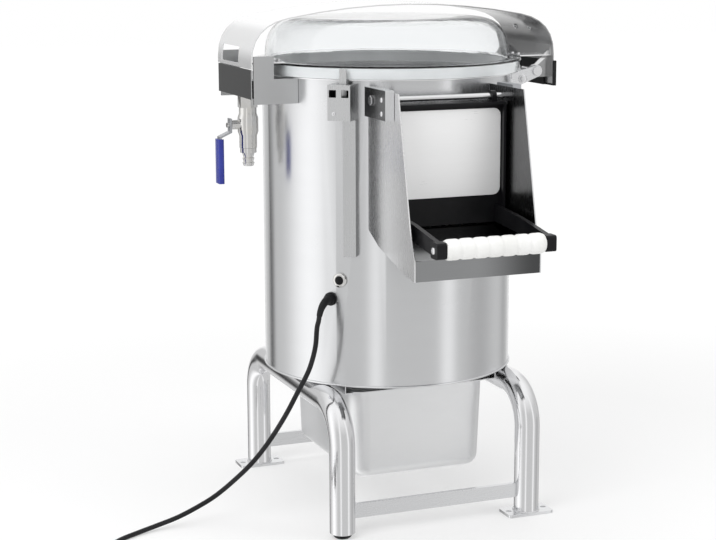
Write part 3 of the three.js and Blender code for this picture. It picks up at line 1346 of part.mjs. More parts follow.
// The machine is centred on the middle of its own footprint.
const reachBox = new THREE.Box3().setFromObject(machine, true);
const middle = reachBox.getCenter(new THREE.Vector3());
const potatoPeeler = new THREE.Group();
potatoPeeler.add(machine, lead);
potatoPeeler.position.set(-middle.x, -middle.y, -reachBox.min.z);

export default potatoPeeler;
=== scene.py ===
# %% [markdown]
# # An electric potato peeler
# The machine is a steel drum on two bent-tube frames. A clear lid hangs under a steel arch, a chute with a
# lifting door is on the front, a water valve on the left and a kitchen pan for the peel below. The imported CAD
# model is the frame of this scene: its pieces are in place already, in metres, with the floor at z = 0. Some
# of them only need a finish. Others are too coarse for a picture, and a finer piece stands in for them.

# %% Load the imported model
import json
import math

import bmesh
import bpy
from mathutils import Matrix, Vector


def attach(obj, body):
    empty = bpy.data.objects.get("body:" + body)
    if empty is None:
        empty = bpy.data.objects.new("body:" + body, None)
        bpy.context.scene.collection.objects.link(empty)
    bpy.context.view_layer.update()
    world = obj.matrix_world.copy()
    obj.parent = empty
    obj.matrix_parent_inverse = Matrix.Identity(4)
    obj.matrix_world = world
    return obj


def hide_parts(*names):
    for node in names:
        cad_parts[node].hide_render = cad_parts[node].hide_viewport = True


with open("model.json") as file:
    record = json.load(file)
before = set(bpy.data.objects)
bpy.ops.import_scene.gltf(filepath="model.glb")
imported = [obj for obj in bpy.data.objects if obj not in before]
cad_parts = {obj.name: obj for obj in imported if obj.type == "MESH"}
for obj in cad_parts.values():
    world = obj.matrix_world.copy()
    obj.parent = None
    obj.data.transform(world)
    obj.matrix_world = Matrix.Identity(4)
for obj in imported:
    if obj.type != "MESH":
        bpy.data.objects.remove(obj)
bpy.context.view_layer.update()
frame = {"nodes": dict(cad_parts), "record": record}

# %% [markdown]
# Places on the machine are measured from the drum's axis, as a maker would measure them. The whole model's
# middle is elsewhere, so one vector moves a place from the drum's axis into the shared frame.

# %% Places on the machine
AXIS = Vector((0.014, 0.1, 0.0))
DRUM = 0.210  # the drum's radius
UP = Vector((0, 0, 1))


def at(x, y, z):
    """A place in the shared frame from its place beside the drum's axis."""
    return AXIS + Vector((x, y, z))


def radial(degrees):
    """The level direction out of the drum at an angle from the front, positive towards +X."""
    turn = math.radians(degrees)
    return Vector((math.sin(turn), -math.cos(turn), 0))


print("drum axis at", tuple(AXIS))

# %% [markdown]
# The photograph was taken from the front left, a little above the machine, with a long lens. A camera can be
# matched by eye or worked out from known lines. Here the drum's edges and the frame's feet gave the turn, the
# pitch and the distance, and a small sideways shift stands for the way the picture was cropped.

# %% The camera
PICTURE_WIDTH = 716  # pixels
TURN = 0.3877  # radians to the left of the machine's front
PITCH = 0.1925  # radians downwards
FOCAL = 1730.4  # pixels
MIDDLE = 386.92  # the pixel column that the lens looks at
CAMERA_PLACE = at(-1.1045, -2.7048, 0.9578)

lens = bpy.data.cameras.new("camera")
camera = bpy.data.objects.new("camera", lens)
bpy.context.scene.collection.objects.link(camera)
camera.location = CAMERA_PLACE
look = Vector((math.sin(TURN) * math.cos(PITCH), math.cos(TURN) * math.cos(PITCH), -math.sin(PITCH)))
camera.rotation_euler = look.to_track_quat("-Z", "Y").to_euler()
lens.sensor_width = 36  # millimetres
lens.lens = FOCAL * lens.sensor_width / PICTURE_WIDTH
lens.shift_x = (PICTURE_WIDTH / 2 - MIDDLE) / PICTURE_WIDTH
bpy.context.scene.camera = camera
bpy.context.scene.view_settings.view_transform = "Standard"
print("lens", round(lens.lens, 1), "mm")

# %% [markdown]
# The mains lead leaves a rubber relief on the drum, drops to the floor and runs off to the left. What the
# photograph doesn't show is wound into a flat coil outside the picture, as for storage. A curve is the best
# tool for it, because the lead is one round section along one line. Its start follows from the relief's bend,
# and its free run from points that were laid over the photograph.

# %% The free run of the mains lead
LEAD = 0.008  # diameter
LEAD_ANGLE = -47.69  # degrees round the drum, where the lead leaves it
LEAD_HEIGHT = 0.378
RELIEF_START = 0.2206  # from the drum's axis
RELIEF_BEND = 0.032  # radius of the relief's bend
RELIEF_TURN = math.radians(70)
RELIEF_GAP = 0.0003  # between the relief's end and the lead's first point

out = radial(LEAD_ANGLE)
relief_start = out * RELIEF_START + UP * LEAD_HEIGHT
relief_end = relief_start + out * RELIEF_BEND * math.sin(RELIEF_TURN)
relief_end -= UP * RELIEF_BEND * (1 - math.cos(RELIEF_TURN))
lead_way = out * math.cos(RELIEF_TURN) - UP * math.sin(RELIEF_TURN)
lead_start = relief_end + lead_way * RELIEF_GAP
run = [
    (-0.191, -0.173, 0.339), (-0.196, -0.179, 0.311), (-0.204, -0.180, 0.283), (-0.212, -0.177, 0.262),
    (-0.223, -0.171, 0.238), (-0.240, -0.154, 0.194), (-0.260, -0.130, 0.147), (-0.282, -0.109, 0.108),
    (-0.308, -0.088, 0.074), (-0.337, -0.075, 0.047), (-0.367, -0.068, 0.029), (-0.398, -0.066, 0.016),
    (-0.430, -0.070, 0.009), (-0.466, -0.082, 0.005), (-0.504, -0.105, 0.0043), (-0.532, -0.138, 0.0043),
    (-0.551, -0.175, 0.0048), (-0.5585, -0.205, 0.0056),
]
print("the lead starts at", tuple(round(v, 4) for v in lead_start), "and runs through", len(run), "points")

# %% [markdown]
# A loop works out the coil: two flat spirals, one lying on the other, with a soft climb between them. From
# its top the lead's tail goes on to the plug, which lies on the floor beside the coil.

# %% The coil and the tail
COIL = Vector((-0.505, -0.245, 0.0058))  # middle of the lower layer
COIL_PITCH = 0.0087  # between turns, and between layers
COIL_TURNS = 2  # in each layer
COIL_MEAN = 0.046  # mean radius of the turns
COIL_RADIUS = COIL_MEAN + COIL_PITCH  # where the lead enters, on the outside
CLIMB = 0.5  # the part of a turn that climbs to the upper layer
TAIL = 0.1057  # length from the coil to the plug
PLUG_HEIGHT = 0.0193

# shares of the tail's length, and of its rise to the plug
tail_shares = [
    (0.08, 0), (0.17, -0.02), (0.26, -0.15), (0.36, -0.35), (0.45, -0.5), (0.55, -0.4), (0.64, -0.05),
    (0.74, 0.45), (0.83, 0.82), (0.92, 1), (1, 1),
]


def smoothstep(x):
    x = min(max(x, 0), 1)
    return x * x * (3 - 2 * x)


def coil_points(steps=24):
    """Two layers of turns, in along the floor and out again on top."""
    points = []
    for i in range(2 * COIL_TURNS * steps + 1):
        turns = i / steps
        radius = COIL_RADIUS - COIL_PITCH * (COIL_TURNS - abs(COIL_TURNS - turns))
        climb = smoothstep((turns - COIL_TURNS) / CLIMB + 0.5)
        angle = math.pi + 2 * math.pi * turns
        side = Vector((math.cos(angle), math.sin(angle), 0)) * radius
        points.append(COIL + side + UP * COIL_PITCH * climb)
    return points


coil_entry = COIL - Vector((COIL_RADIUS, 0, 0))
upper_layer = COIL.z + COIL_PITCH
tail = [
    Vector((coil_entry.x, coil_entry.y - along * TAIL, upper_layer + rise * (PLUG_HEIGHT - upper_layer)))
    for along, rise in tail_shares
]
lead_points = [lead_start, lead_start + lead_way * LEAD]
lead_points += [Vector(place) for place in run]
lead_points += [coil_entry + Vector((0, 2 * LEAD, 0)), coil_entry + Vector((0, LEAD, 0))]
lead_points += coil_points() + tail
print("points on the lead:", len(lead_points))

# %% [markdown]
# A curve through points can be a Bezier with handles or a spline that is sampled finely. Sampling is chosen
# here, since a Catmull-Rom spline goes through each listed point and keeps the lead on the CAD's line. The
# curve's own bevel then makes it round.

# %% The mains lead


def catmull_rom(points, parts=6):
    """A smooth line through all the points."""
    fine = []
    for i in range(len(points) - 1):
        before, start = points[max(i - 1, 0)], points[i]
        end, after = points[i + 1], points[min(i + 2, len(points) - 1)]
        for step in range(parts):
            t = step / parts
            bend = 2 * before - 5 * start + 4 * end - after
            twist = 3 * start - before - 3 * end + after
            fine.append((2 * start + (end - before) * t + bend * t * t + twist * t ** 3) / 2)
    return fine + [points[-1]]


def line_length(points):
    return sum((b - a).length for a, b in zip(points, points[1:]))


def round_line(name, points, radius, roundness=6):
    """A curve object with a round section, closed at its ends."""
    curve = bpy.data.curves.new(name, "CURVE")
    curve.dimensions = "3D"
    spline = curve.splines.new("POLY")
    spline.points.add(len(points) - 1)
    for target, place in zip(spline.points, points):
        target.co = (*place, 1)
        target.radius = radius
    curve.bevel_depth = 1  # times each point's own radius
    curve.bevel_resolution = roundness
    curve.use_fill_caps = True
    piece = bpy.data.objects.new(name, curve)
    bpy.context.scene.collection.objects.link(piece)
    return piece


lead_line = [AXIS + place for place in catmull_rom(lead_points)]
lead = round_line("mains_lead", lead_line, LEAD / 2)
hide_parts("cord", "cord_coil")
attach(lead, "machine")
round(line_length(lead_line), 3)
print("mains lead:", round(line_length(lead_line), 3), "m")

# %% [markdown]
# Metal looks like what stands round it. The machine was photographed in a white studio with a broad light on
# its left and slim ones in front and on its right, which are the bright stripes down the drum. The sky gives
# plain white to the camera and a level light to everything else. For reflections it also holds the panels
# of the studio, each a soft stripe at an angle round the machine. Two helpers come first. The wire wraps a
# socket, so that shader maths can be written as plain sums.

# %% Wires


class Wire:
    """A node's output that can be used in sums."""

    def __init__(self, net, socket):
        self.net = net
        self.socket = socket

    def __add__(self, other):
        return self.net.maths("ADD", self, other)

    def __sub__(self, other):
        return self.net.maths("SUBTRACT", self, other)

    def __rsub__(self, other):
        return self.net.maths("SUBTRACT", other, self)

    def __mul__(self, other):
        return self.net.maths("MULTIPLY", self, other)

    def __abs__(self):
        return self.net.maths("ABSOLUTE", self)

    __radd__ = __add__
    __rmul__ = __mul__


print("wires can be added, subtracted and multiplied")

# %% [markdown]
# The net adds nodes to a node tree. One method makes any node, from its type, its settings and what goes into
# its sockets, and the short ones after it name the nodes that are used most.

# %% Nets


class Net:
    """Adds nodes to a node tree and links them."""

    def __init__(self, tree):
        self.tree = tree
        tree.nodes.clear()

    def node(self, kind, settings=None, sockets=None):
        """A new node: its settings first, then the values or wires of its sockets."""
        made = self.tree.nodes.new(kind)
        for name, value in (settings or {}).items():
            if name == "stops":
                ramp = made.color_ramp
                while len(ramp.elements) < len(value):
                    ramp.elements.new(1)
                for element, (place, shade) in zip(ramp.elements, value):
                    element.position = place
                    element.color = (*shade, 1)
            else:
                setattr(made, name, value)
        for name, value in (sockets or {}).items():
            if isinstance(value, Wire):
                self.tree.links.new(value.socket, made.inputs[name])
            else:
                made.inputs[name].default_value = value
        return made

    def wire(self, kind, settings=None, sockets=None, output=0):
        """A new node's output."""
        return Wire(self, self.node(kind, settings, sockets).outputs[output])

    def maths(self, operation, *values):
        return self.wire("ShaderNodeMath", {"operation": operation}, dict(enumerate(values)))

    def vectors(self, operation, *values):
        return self.wire("ShaderNodeVectorMath", {"operation": operation}, dict(enumerate(values)))

    def measure(self, operation, *values):
        """Vector maths whose result is a number, such as a length."""
        sockets = dict(enumerate(values))
        return self.wire("ShaderNodeVectorMath", {"operation": operation}, sockets, output=1)

    def clamp(self, value, low=0):
        """The value, kept between low and 1."""
        return self.wire("ShaderNodeClamp", None, {"Value": value, "Min": low, "Max": 1})

    def ease(self, value, start, end, low, high):
        """Goes softly from low to high while the value goes from start to end."""
        sockets = {"Value": value, 1: start, 2: end, 3: low, 4: high}
        return self.wire("ShaderNodeMapRange", {"interpolation_type": "SMOOTHSTEP"}, sockets)

    def parts(self, vector):
        """The X, Y and Z of a vector."""
        split = self.node("ShaderNodeSeparateXYZ", None, {0: vector})
        return [Wire(self, socket) for socket in split.outputs]

    def blend(self, share, first, second, way="MIX"):
        """Two colours blended by a share, or by another way of Blender's."""
        sockets = {0: share, 6: self.colour(first), 7: self.colour(second)}
        return self.wire("ShaderNodeMix", {"data_type": "RGBA", "blend_type": way}, sockets, output=2)

    def colour(self, value):
        return value if isinstance(value, Wire) else (*value, 1)

    def ramp(self, value, stops):
        """A colour for each value, from stops of (value, colour)."""
        return self.wire("ShaderNodeValToRGB", {"stops": stops}, {0: value})


print("helpers for node trees are ready")

# %% [markdown]
# The panels are bells of brightness over the angle round the machine. Zero is the camera's side and negative
# angles are on its left. The dark ones are cloths, which give the drum its dark line near the left edge and
# its shade on the right. They hang only at the height that upright sheet mirrors. The backdrop behind the
# machine is white in reflections too.

# %% The studio's sky
AMBIENT = 0.62  # what the sky lends to matt surfaces
ROOM = 0.68  # brightness of the walls in reflections
BACKDROP = 1.0
BACKDROP_EDGE = (152, 166)  # degrees, a soft change from the walls to the backdrop
CEILING = 1.1
CEILING_START = 0.3125  # how steeply a ray rises where the ceiling begins to show
CEILING_GROWTH = 1.6
CLOTH_HEIGHT = -0.19  # the rise of the camera's line of sight
CLOTH_REACH = (0.12, 0.3)  # above and below that, fully dark to gone
# middle and half-width in degrees, and brightness
PANELS = {
    "broad light on the left": (-76, 42, 1.3),
    "slim light in front": (-10, 11, 1.12),
    "slim light on the right": (59, 13, 1.12),
    "grey screen on the right": (97, 26, 0.5),
    "black cloth behind on the left": (-137.5, 10.5, 0.0),
    "grey cloth behind on the right": (142, 14, 0.45),
}

world = bpy.data.worlds.new("studio")
bpy.context.scene.world = world
world.use_nodes = True
sky = Net(world.node_tree)
east, north, height = sky.parts(sky.wire("ShaderNodeTexCoord"))
sideways = east * math.cos(TURN) - north * math.sin(TURN)
towards = 0 - (east * math.sin(TURN) + north * math.cos(TURN))
angle = sky.maths("ARCTAN2", sideways, towards) * math.degrees(1)
room = ROOM + (BACKDROP - ROOM) * sky.ease(abs(angle), *BACKDROP_EDGE, 0, 1)
waist = sky.ease(abs(height - CLOTH_HEIGHT), *CLOTH_REACH, 1, 0)
for middle, half, brightness in PANELS.values():
    bell = sky.ease(abs(angle - middle), 0, half, 1, 0)
    if brightness < ROOM:
        bell = bell * waist
    room = room + bell * (brightness - room)
overhead = sky.clamp((height - CEILING_START) * CEILING_GROWTH)
room = room + overhead * (CEILING - room)
print("studio panels:", len(PANELS))

# %% [markdown]
# A sky can answer each kind of ray in its own way. Matt surfaces get the level light, reflections get the
# room, and both the camera and what it sees through the clear lid get plain white.

# %% What each ray sees of the sky
rays = sky.node("ShaderNodeLightPath")
camera_ray, glossy_ray, through_ray = (
    Wire(sky, rays.outputs[kind]) for kind in ("Is Camera Ray", "Is Glossy Ray", "Is Transmission Ray"))
level = AMBIENT + glossy_ray * (room - AMBIENT)
level = level + sky.clamp(camera_ray + through_ray) * (1 - level)
background = sky.wire("ShaderNodeBackground", None, {"Color": (1, 1, 1, 1), "Strength": level})
sky.node("ShaderNodeOutputWorld", None, {"Surface": background})
print("sky ready")

# %% [markdown]
# The floor is pale and plain. Lit alone it would turn grey far from the lamps and show a horizon, so it
# fades into a white glow with distance. Near the machine most of it is a plain pale surface, which takes a
# shadow.
# Reflections look past the floor at the sky, so the stripes in the metal run down without a break.

# %% The floor
FLOOR_HALF = 12
FLOOR_SHADE = 0.92
GLOW_START = 0.35  # from this distance on the glow would grow from nothing
GLOW_GROWTH = 0.8  # per metre
GLOW_LEAST = 0.4  # which it has already under the machine
GLOW_STRENGTH = 1.02


def floor_piece():
    half = FLOOR_HALF
    corners = [(-half, -half, 0), (half, -half, 0), (half, half, 0), (-half, half, 0)]
    mesh = bpy.data.meshes.new("floor")
    mesh.from_pydata(corners, [], [(0, 1, 2, 3)])
    piece = bpy.data.objects.new("floor", mesh)
    bpy.context.scene.collection.objects.link(piece)
    material = bpy.data.materials.new("pale floor")
    material.use_nodes = True
    net = Net(material.node_tree)
    place = net.wire("ShaderNodeTexCoord", output=3)
    distance = net.measure("LENGTH", place)
    glow = net.clamp((distance - GLOW_START) * GLOW_GROWTH, GLOW_LEAST)
    matt = net.wire("ShaderNodeBsdfDiffuse", None, {"Color": (FLOOR_SHADE, FLOOR_SHADE, FLOOR_SHADE, 1)})
    light = net.wire("ShaderNodeEmission", None, {"Color": (1, 1, 1, 1), "Strength": GLOW_STRENGTH})
    mixed = net.wire("ShaderNodeMixShader", None, {0: glow, 1: matt, 2: light})
    net.node("ShaderNodeOutputMaterial", None, {"Surface": mixed})
    mesh.materials.append(material)
    piece.visible_glossy = False
    return piece


floor_piece()
print("floor laid")

# %% [markdown]
# Lamps could be small and bright, but a studio's are as large as a door, and only those give soft shadows.
# They stand on the left, on the right and overhead. Their level is one at which a colour renders about as it
# is written.

# %% The lamps


def softbox(name, place, aim, size, power):
    """A soft lamp that no reflection shows, since the sky's panels are there for that."""
    lamp = bpy.data.lights.new(name, "AREA")
    lamp.shape = "RECTANGLE"
    lamp.size, lamp.size_y = size
    lamp.energy = power
    piece = bpy.data.objects.new(name, lamp)
    piece.location = place
    piece.rotation_euler = (Vector(aim) - Vector(place)).to_track_quat("-Z", "Y").to_euler()
    bpy.context.scene.collection.objects.link(piece)
    piece.visible_camera = False
    piece.visible_glossy = False
    piece.visible_transmission = False
    return piece


softbox("left softbox", place=(-2.4, -1.6, 2.1), aim=(0, 0, 0.45), size=(2.0, 2.0), power=46)
softbox("right softbox", place=(2.2, -1.9, 1.6), aim=(0, 0, 0.4), size=(1.4, 1.8), power=17)
softbox("overhead softbox", place=(0, 0.2, 3.0), aim=(0, 0, 0), size=(2.6, 2.6), power=30)
print("lamps:", len(bpy.data.lights))

# %% [markdown]
# A material's base is one recipe: a Principled shader with an output. Each finish adds its own detail, which
# is worked out from the piece's own coordinates, so it stays with the piece when a joint moves.

# %% The finishes' common recipe


class Finish(Net):
    """A new material with one Principled shader."""

    def __init__(self, name, **values):
        self.material = bpy.data.materials.new(name)
        self.material.use_nodes = True
        super().__init__(self.material.node_tree)
        self.shader = self.node("ShaderNodeBsdfPrincipled")
        surface = Wire(self, self.shader.outputs[0])
        self.output = self.node("ShaderNodeOutputMaterial", None, {"Surface": surface})
        for socket, value in values.items():
            self.set(socket.replace("_", " "), value)
        self.place = self.wire("ShaderNodeTexCoord", output=3)

    def facing(self):
        """The way a face looks."""
        return self.wire("ShaderNodeTexCoord", output=1)

    def set(self, socket, value):
        """A plain number or colour goes straight onto the shader's socket."""
        if isinstance(value, Wire):
            self.tree.links.new(value.socket, self.shader.inputs[socket])
        else:
            self.shader.inputs[socket].default_value = value

    def noise(self, scale, stretch=(1, 1, 1), detail=3, place=None):
        """Clouds from 0 to 1. A stretch below 1 draws them out along that axis."""
        where = self.vectors("MULTIPLY", place or self.place, stretch)
        sockets = {"Vector": where, "Scale": scale, "Detail": detail, "Roughness": 0.55}
        return self.wire("ShaderNodeTexNoise", None, sockets)

    def bump(self, height, depth):
        sockets = {"Height": height, "Distance": depth, "Strength": 1}
        self.set("Normal", self.wire("ShaderNodeBump", None, sockets))

    def round_place(self):
        """Coordinates for a turned piece: way round it, distance from the drum's axis, and height."""
        x, y, z = self.parts(self.vectors("SUBTRACT", self.place, tuple(AXIS)))
        around = self.maths("ARCTAN2", x, y) * DRUM
        reach = self.maths("SQRT", x * x + y * y)
        return self.wire("ShaderNodeCombineXYZ", None, {0: around, 1: reach, 2: z})


print("recipe ready")

# %% [markdown]
# Stainless sheet is ground with a belt, which leaves fine parallel scratches. They blur a reflection across
# the scratches and keep it sharp along them, so a light turns into a stripe. A normal map alone can't do
# that at this distance, so the shader's own anisotropy carries the stripe. Noise that is drawn out along the
# scratches varies the colour, the roughness and a very shallow bump.

# %% Stainless steel
FINE_SCRATCHES = 900  # scales of noise
SCRATCH_BANDS = 60
HAND_MARKS = 9
WEAR = 0.6  # how far a scoured face has gone from metal to matt


def steel(
        name, colour, roughness, grain, directed=0.0, turn=0.0, coarse=0.02,
        round_piece=False, dull=None, scoured=None, metal=1.0):
    """Steel sheet. Grain is the stretch of its scratches, and directed how far they stretch a reflection.
    Of the two functions, the first gives each face's share of painted shade, which darkens its colour where
    shade and dark reflections fell, and scoured gives the faces that wear has turned matt."""
    made = Finish(name, Metallic=metal)
    made.set("Anisotropic", directed)
    made.set("Anisotropic Rotation", turn)
    place = made.round_place() if round_piece else made.place
    scratches = made.noise(FINE_SCRATCHES, grain, detail=2, place=place)
    bands = made.noise(SCRATCH_BANDS, grain, detail=2, place=place)
    clouds = made.noise(HAND_MARKS, detail=4)
    shade = 0.96 + 0.05 * scratches + 0.03 * bands
    # painted shade: the colour is darkened on the faces that the function picks
    if dull:
        shade = shade * (1 - dull(made))
    grey = made.wire("ShaderNodeCombineColor", None, {0: shade, 1: shade, 2: shade})
    made.set("Base Color", made.blend(1.0, colour, grey, way="MULTIPLY"))
    made.set("Roughness", roughness * (0.72 + 0.26 * scratches + 0.3 * clouds))
    if scoured:
        made.set("Metallic", metal - WEAR * scoured(made))
    made.bump(scratches + 0.5 * bands, 0.000004 + 0.0002 * coarse)
    return made.material


print("steel recipe ready")

# %% [markdown]
# One room can't give every face the shade of the photograph, where dark cloths stood close to the machine.
# Some faces get painted shade instead: their colour is darkened where shade and dark reflections fell. One
# function below picks the drum's inner face, which wear has turned matt. The others pick such faces by the
# way they look or by their place, and give their share of painted shade.

# %% Faces with painted shade
LEFT_FACE = -0.6  # a face whose normal has less X than this looks left
RIGHT_FACE = 0.3  # and one that has more than this looks right
FRONT_FACE = 0.8  # a face that agrees less than this with the way the duct looks is one of its sides
DUCT_ANGLE = -37.6  # degrees round the drum
SHELF_LIP = AXIS.x - DRUM - 0.05  # the shelf's lip is beyond this
APRON_SHADE = (AXIS.x - 0.01, AXIS.x + 0.1)  # X, from bright to dark
ARCH_SHADE = (AXIS.x, AXIS.x + 0.15)
ARCH_MIDDLE = at(0, 0, 0.62)  # the arch bends round this


def faces_left(made):
    """1 where a face looks to the machine's left."""
    return made.maths("LESS_THAN", made.parts(made.facing())[0], LEFT_FACE)


# painted shade on the switch box's right side
def box_right_side(made):
    return 0.5 * made.maths("GREATER_THAN", made.parts(made.facing())[0], RIGHT_FACE)


def duct_sides(made):
    """The duct stands at an angle on the drum. Its sides get painted shade, so only its front face is bright.
    """
    front = made.measure("DOT_PRODUCT", made.facing(), tuple(radial(DUCT_ANGLE)))
    return 0.62 * made.maths("LESS_THAN", front, FRONT_FACE)


def inner_chute_face(made):
    return 0.78 * faces_left(made)


def shelf_lip_face(made):
    lip = made.maths("LESS_THAN", made.parts(made.place)[0], SHELF_LIP)
    return 0.8 * faces_left(made) * lip


def block_left_face(made):
    return 0.8 * faces_left(made)


def inside_drum(made):
    """1 on the drum's inner face, which the potatoes have scoured."""
    outward = made.vectors("MULTIPLY", made.vectors("SUBTRACT", made.place, tuple(AXIS)), (1, 1, 0))
    return made.maths("LESS_THAN", made.measure("DOT_PRODUCT", made.facing(), outward), 0)


def apron_right(made):
    """Painted shade that darkens the apron towards its right half."""
    return made.ease(made.parts(made.place)[0], *APRON_SHADE, 0, 0.75)


def under_arch_face(made):
    """Painted shade on the arch's inner face, which looks back towards the middle of the drum."""
    outward = made.vectors("SUBTRACT", made.place, tuple(ARCH_MIDDLE))
    outward = made.vectors("MULTIPLY", outward, (1, 0, 1))
    share = made.ease(made.parts(made.place)[0], *ARCH_SHADE, 0.1, 0.62)
    return share * made.maths("LESS_THAN", made.measure("DOT_PRODUCT", made.facing(), outward), 0)


print("dull faces ready")

# %% [markdown]
# The machine has many steels. Folded sheets differ in the way of their grain, turned pieces have theirs
# running round, and tubes and the arch are polished. A stretch far below 1 is the way that the grain runs.
# The sheets' colours are lighter and darker copies of one ground stainless, which paint the light and shade
# that each piece gets, from the bright door sheet to the dark chute floor.

# %% The sheets
SHEET = (0.77, 0.775, 0.785)
LEVEL_GRAIN = (0.03, 0.03, 1)
UPRIGHT_GRAIN = (1, 1, 0.03)
ROUND_GRAIN = (0.05, 1, 1)
ARCH_GRAIN = (1, 0.06, 1)
ACROSS = 0.25  # a quarter turn of the stretched reflection
SMOOTH = 0.005  # how coarse a ground sheet is


def sheet(name, colour, grain, roughness=0.27, directed=0.3, **more):
    return steel(name, colour, roughness, grain, directed=directed, coarse=SMOOTH, **more)


# painted light and shade: each sheet's colour below is a lighter or darker copy of one ground stainless
drum_steel = steel(
    "ground drum sheet", (0.735, 0.74, 0.75), 0.25, (0.12, 1, 1), directed=0.72, turn=ACROSS,
    round_piece=True, scoured=inside_drum)
level_steel = sheet("ground sheet, level grain", SHEET, LEVEL_GRAIN, turn=ACROSS)
upright_steel = sheet("ground sheet, upright grain", (0.9, 0.9, 0.905), UPRIGHT_GRAIN)
box_steel = sheet("switch box sheet", (0.7, 0.705, 0.71), UPRIGHT_GRAIN, dull=box_right_side)
duct_steel = sheet("duct sheet", (0.66, 0.665, 0.67), UPRIGHT_GRAIN, dull=duct_sides)
chute_steel = sheet("chute sheet", SHEET, UPRIGHT_GRAIN, dull=inner_chute_face)
shelf_steel = sheet("shelf sheet", (0.57, 0.575, 0.58), LEVEL_GRAIN, 0.3, 0.2, dull=shelf_lip_face)
floor_steel = sheet("chute floor sheet", (0.34, 0.345, 0.35), LEVEL_GRAIN, 0.16, 0, dull=apron_right)
panel_steel = sheet("bright door sheet", (0.97, 0.97, 0.97), LEVEL_GRAIN, 0.3, 0, metal=0.3)
pan_steel = steel("satin pan sheet", (0.86, 0.865, 0.87), 0.38, (0.4, 0.4, 1), coarse=0.05)
arch_steel = steel(
    "polished arch sheet", (0.9, 0.9, 0.905), 0.17, ARCH_GRAIN, directed=0.2, dull=under_arch_face, metal=0.6)
bright_steel = steel("polished sheet", (0.8, 0.8, 0.81), 0.17, ARCH_GRAIN)
print("sheets made")

# %% [markdown]
# Solid steel comes from the lathe, the saw or a bolt maker. Its grain is shorter than that of ground sheet.

# %% Turned and machined steel
block_steel = steel("hinge block steel", SHEET, 0.25, (1, 1, 0.1), coarse=SMOOTH, dull=block_left_face)
lathe_steel = steel("turned steel", SHEET, 0.24, ROUND_GRAIN, round_piece=True)
ring_steel = steel("bright turned ring", (0.92, 0.92, 0.925), 0.24, ROUND_GRAIN, round_piece=True)
tube_steel = steel("polished tube", (0.8, 0.8, 0.81), 0.13, (1, 1, 0.2))
dull_steel = steel("plain machined steel", (0.5, 0.51, 0.53), 0.36, (0.3, 0.3, 1), coarse=0.2)
bolt_steel = steel("bolt steel", (0.78, 0.78, 0.79), 0.2, (1, 1, 1), coarse=0.1)
print("steels made")

# %% [markdown]
# The valve is brass under nickel: a cast body with a faint orange-peel skin and a warm tint where the plating
# is thin. Castings inside the machine are rougher and darker, and the motor wears grey enamel.

# %% Nickel, iron and enamel


def nickel_plate():
    made = Finish("nickel-plated brass", Metallic=1.0)
    skin = made.noise(420, detail=2)
    thin = made.ramp(made.noise(60, detail=4), [(0.35, (0.72, 0.715, 0.71)), (0.7, (0.75, 0.735, 0.7))])
    made.set("Base Color", thin)
    made.set("Roughness", 0.1 + 0.1 * skin)
    made.bump(skin, 0.00002)
    return made.material


def cast_iron():
    made = Finish("machined casting", Metallic=0.7)
    grains = made.noise(500, detail=4)
    clouds = made.noise(30, detail=3)
    made.set("Base Color", made.ramp(clouds, [(0.3, (0.19, 0.195, 0.2)), (0.7, (0.3, 0.3, 0.31))]))
    made.set("Roughness", 0.45 + 0.3 * grains)
    made.bump(grains, 0.0003)
    return made.material


def motor_enamel():
    made = Finish("grey motor enamel")
    peel = made.noise(260, detail=2)
    dust = made.noise(12, detail=4)
    made.set("Base Color", made.ramp(dust, [(0.35, (0.26, 0.3, 0.34)), (0.7, (0.31, 0.35, 0.39))]))
    made.set("Roughness", 0.34 + 0.2 * dust)
    made.bump(peel, 0.0002)
    made.set("Coat Weight", 0.25)
    return made.material


valve_nickel = nickel_plate()
iron = cast_iron()
enamel = motor_enamel()
print("nickel, iron and enamel made")

# %% [markdown]
# The disc and the wall of the chamber are coated with coarse grit. Cells of a Voronoi texture stand for the
# grains: each has its own grey and its own height.

# %% The abrasive coat
GRAINS = 330  # in a metre
GRAIN_HEIGHT = 0.0012


def abrasive():
    made = Finish("bonded grit")
    cells = made.node("ShaderNodeTexVoronoi", {"feature": "F1"}, {"Vector": made.place, "Scale": GRAINS})
    edge = Wire(made, cells.outputs["Distance"])
    tint = made.node("ShaderNodeSeparateColor", None, {0: Wire(made, cells.outputs["Color"])})
    grain = Wire(made, tint.outputs[0])
    made.set("Base Color", made.ramp(grain, [
        (0.0, (0.16, 0.16, 0.162)), (0.55, (0.31, 0.31, 0.315)),
        (0.92, (0.46, 0.46, 0.46)), (1.0, (0.62, 0.62, 0.61)),
    ]))
    made.set("Roughness", 0.72 + 0.25 * grain)
    made.bump((1 - edge) * (0.5 + 0.5 * grain), GRAIN_HEIGHT)
    return made.material


grit = abrasive()
print("grit made")

# %% [markdown]
# The lid is clear moulded plastic. Glass made of refraction keeps lamps out of what it covers, and the inside
# of the drum would turn black, so shadow rays pass straight through a Transparent shader instead.

# %% Clear plastic


def clear_plastic():
    made = Finish(
        "clear moulded plastic", Base_Color=(0.965, 0.975, 0.98, 1), Transmission_Weight=1.0, IOR=1.32)
    haze = made.noise(14, detail=4)
    made.set("Roughness", 0.012 + 0.03 * haze)
    made.bump(made.noise(20, detail=2), 0.0004)
    through = made.wire("ShaderNodeBsdfTransparent", None, {"Color": (0.94, 0.95, 0.96, 1)})
    rays = made.node("ShaderNodeLightPath")
    shadow = Wire(made, rays.outputs["Is Shadow Ray"])
    glass = Wire(made, made.shader.outputs[0])
    mixed = made.wire("ShaderNodeMixShader", None, {0: shadow, 1: glass, 2: through})
    made.tree.links.new(mixed.socket, made.output.inputs["Surface"])
    return made.material


clear = clear_plastic()
print("clear plastic made")

# %% [markdown]
# Moulded plastic and rubber are never one flat colour. Handling polishes them in patches, dust settles in a
# fine texture, and the mould leaves a soft grain.

# %% Plastics and rubbers


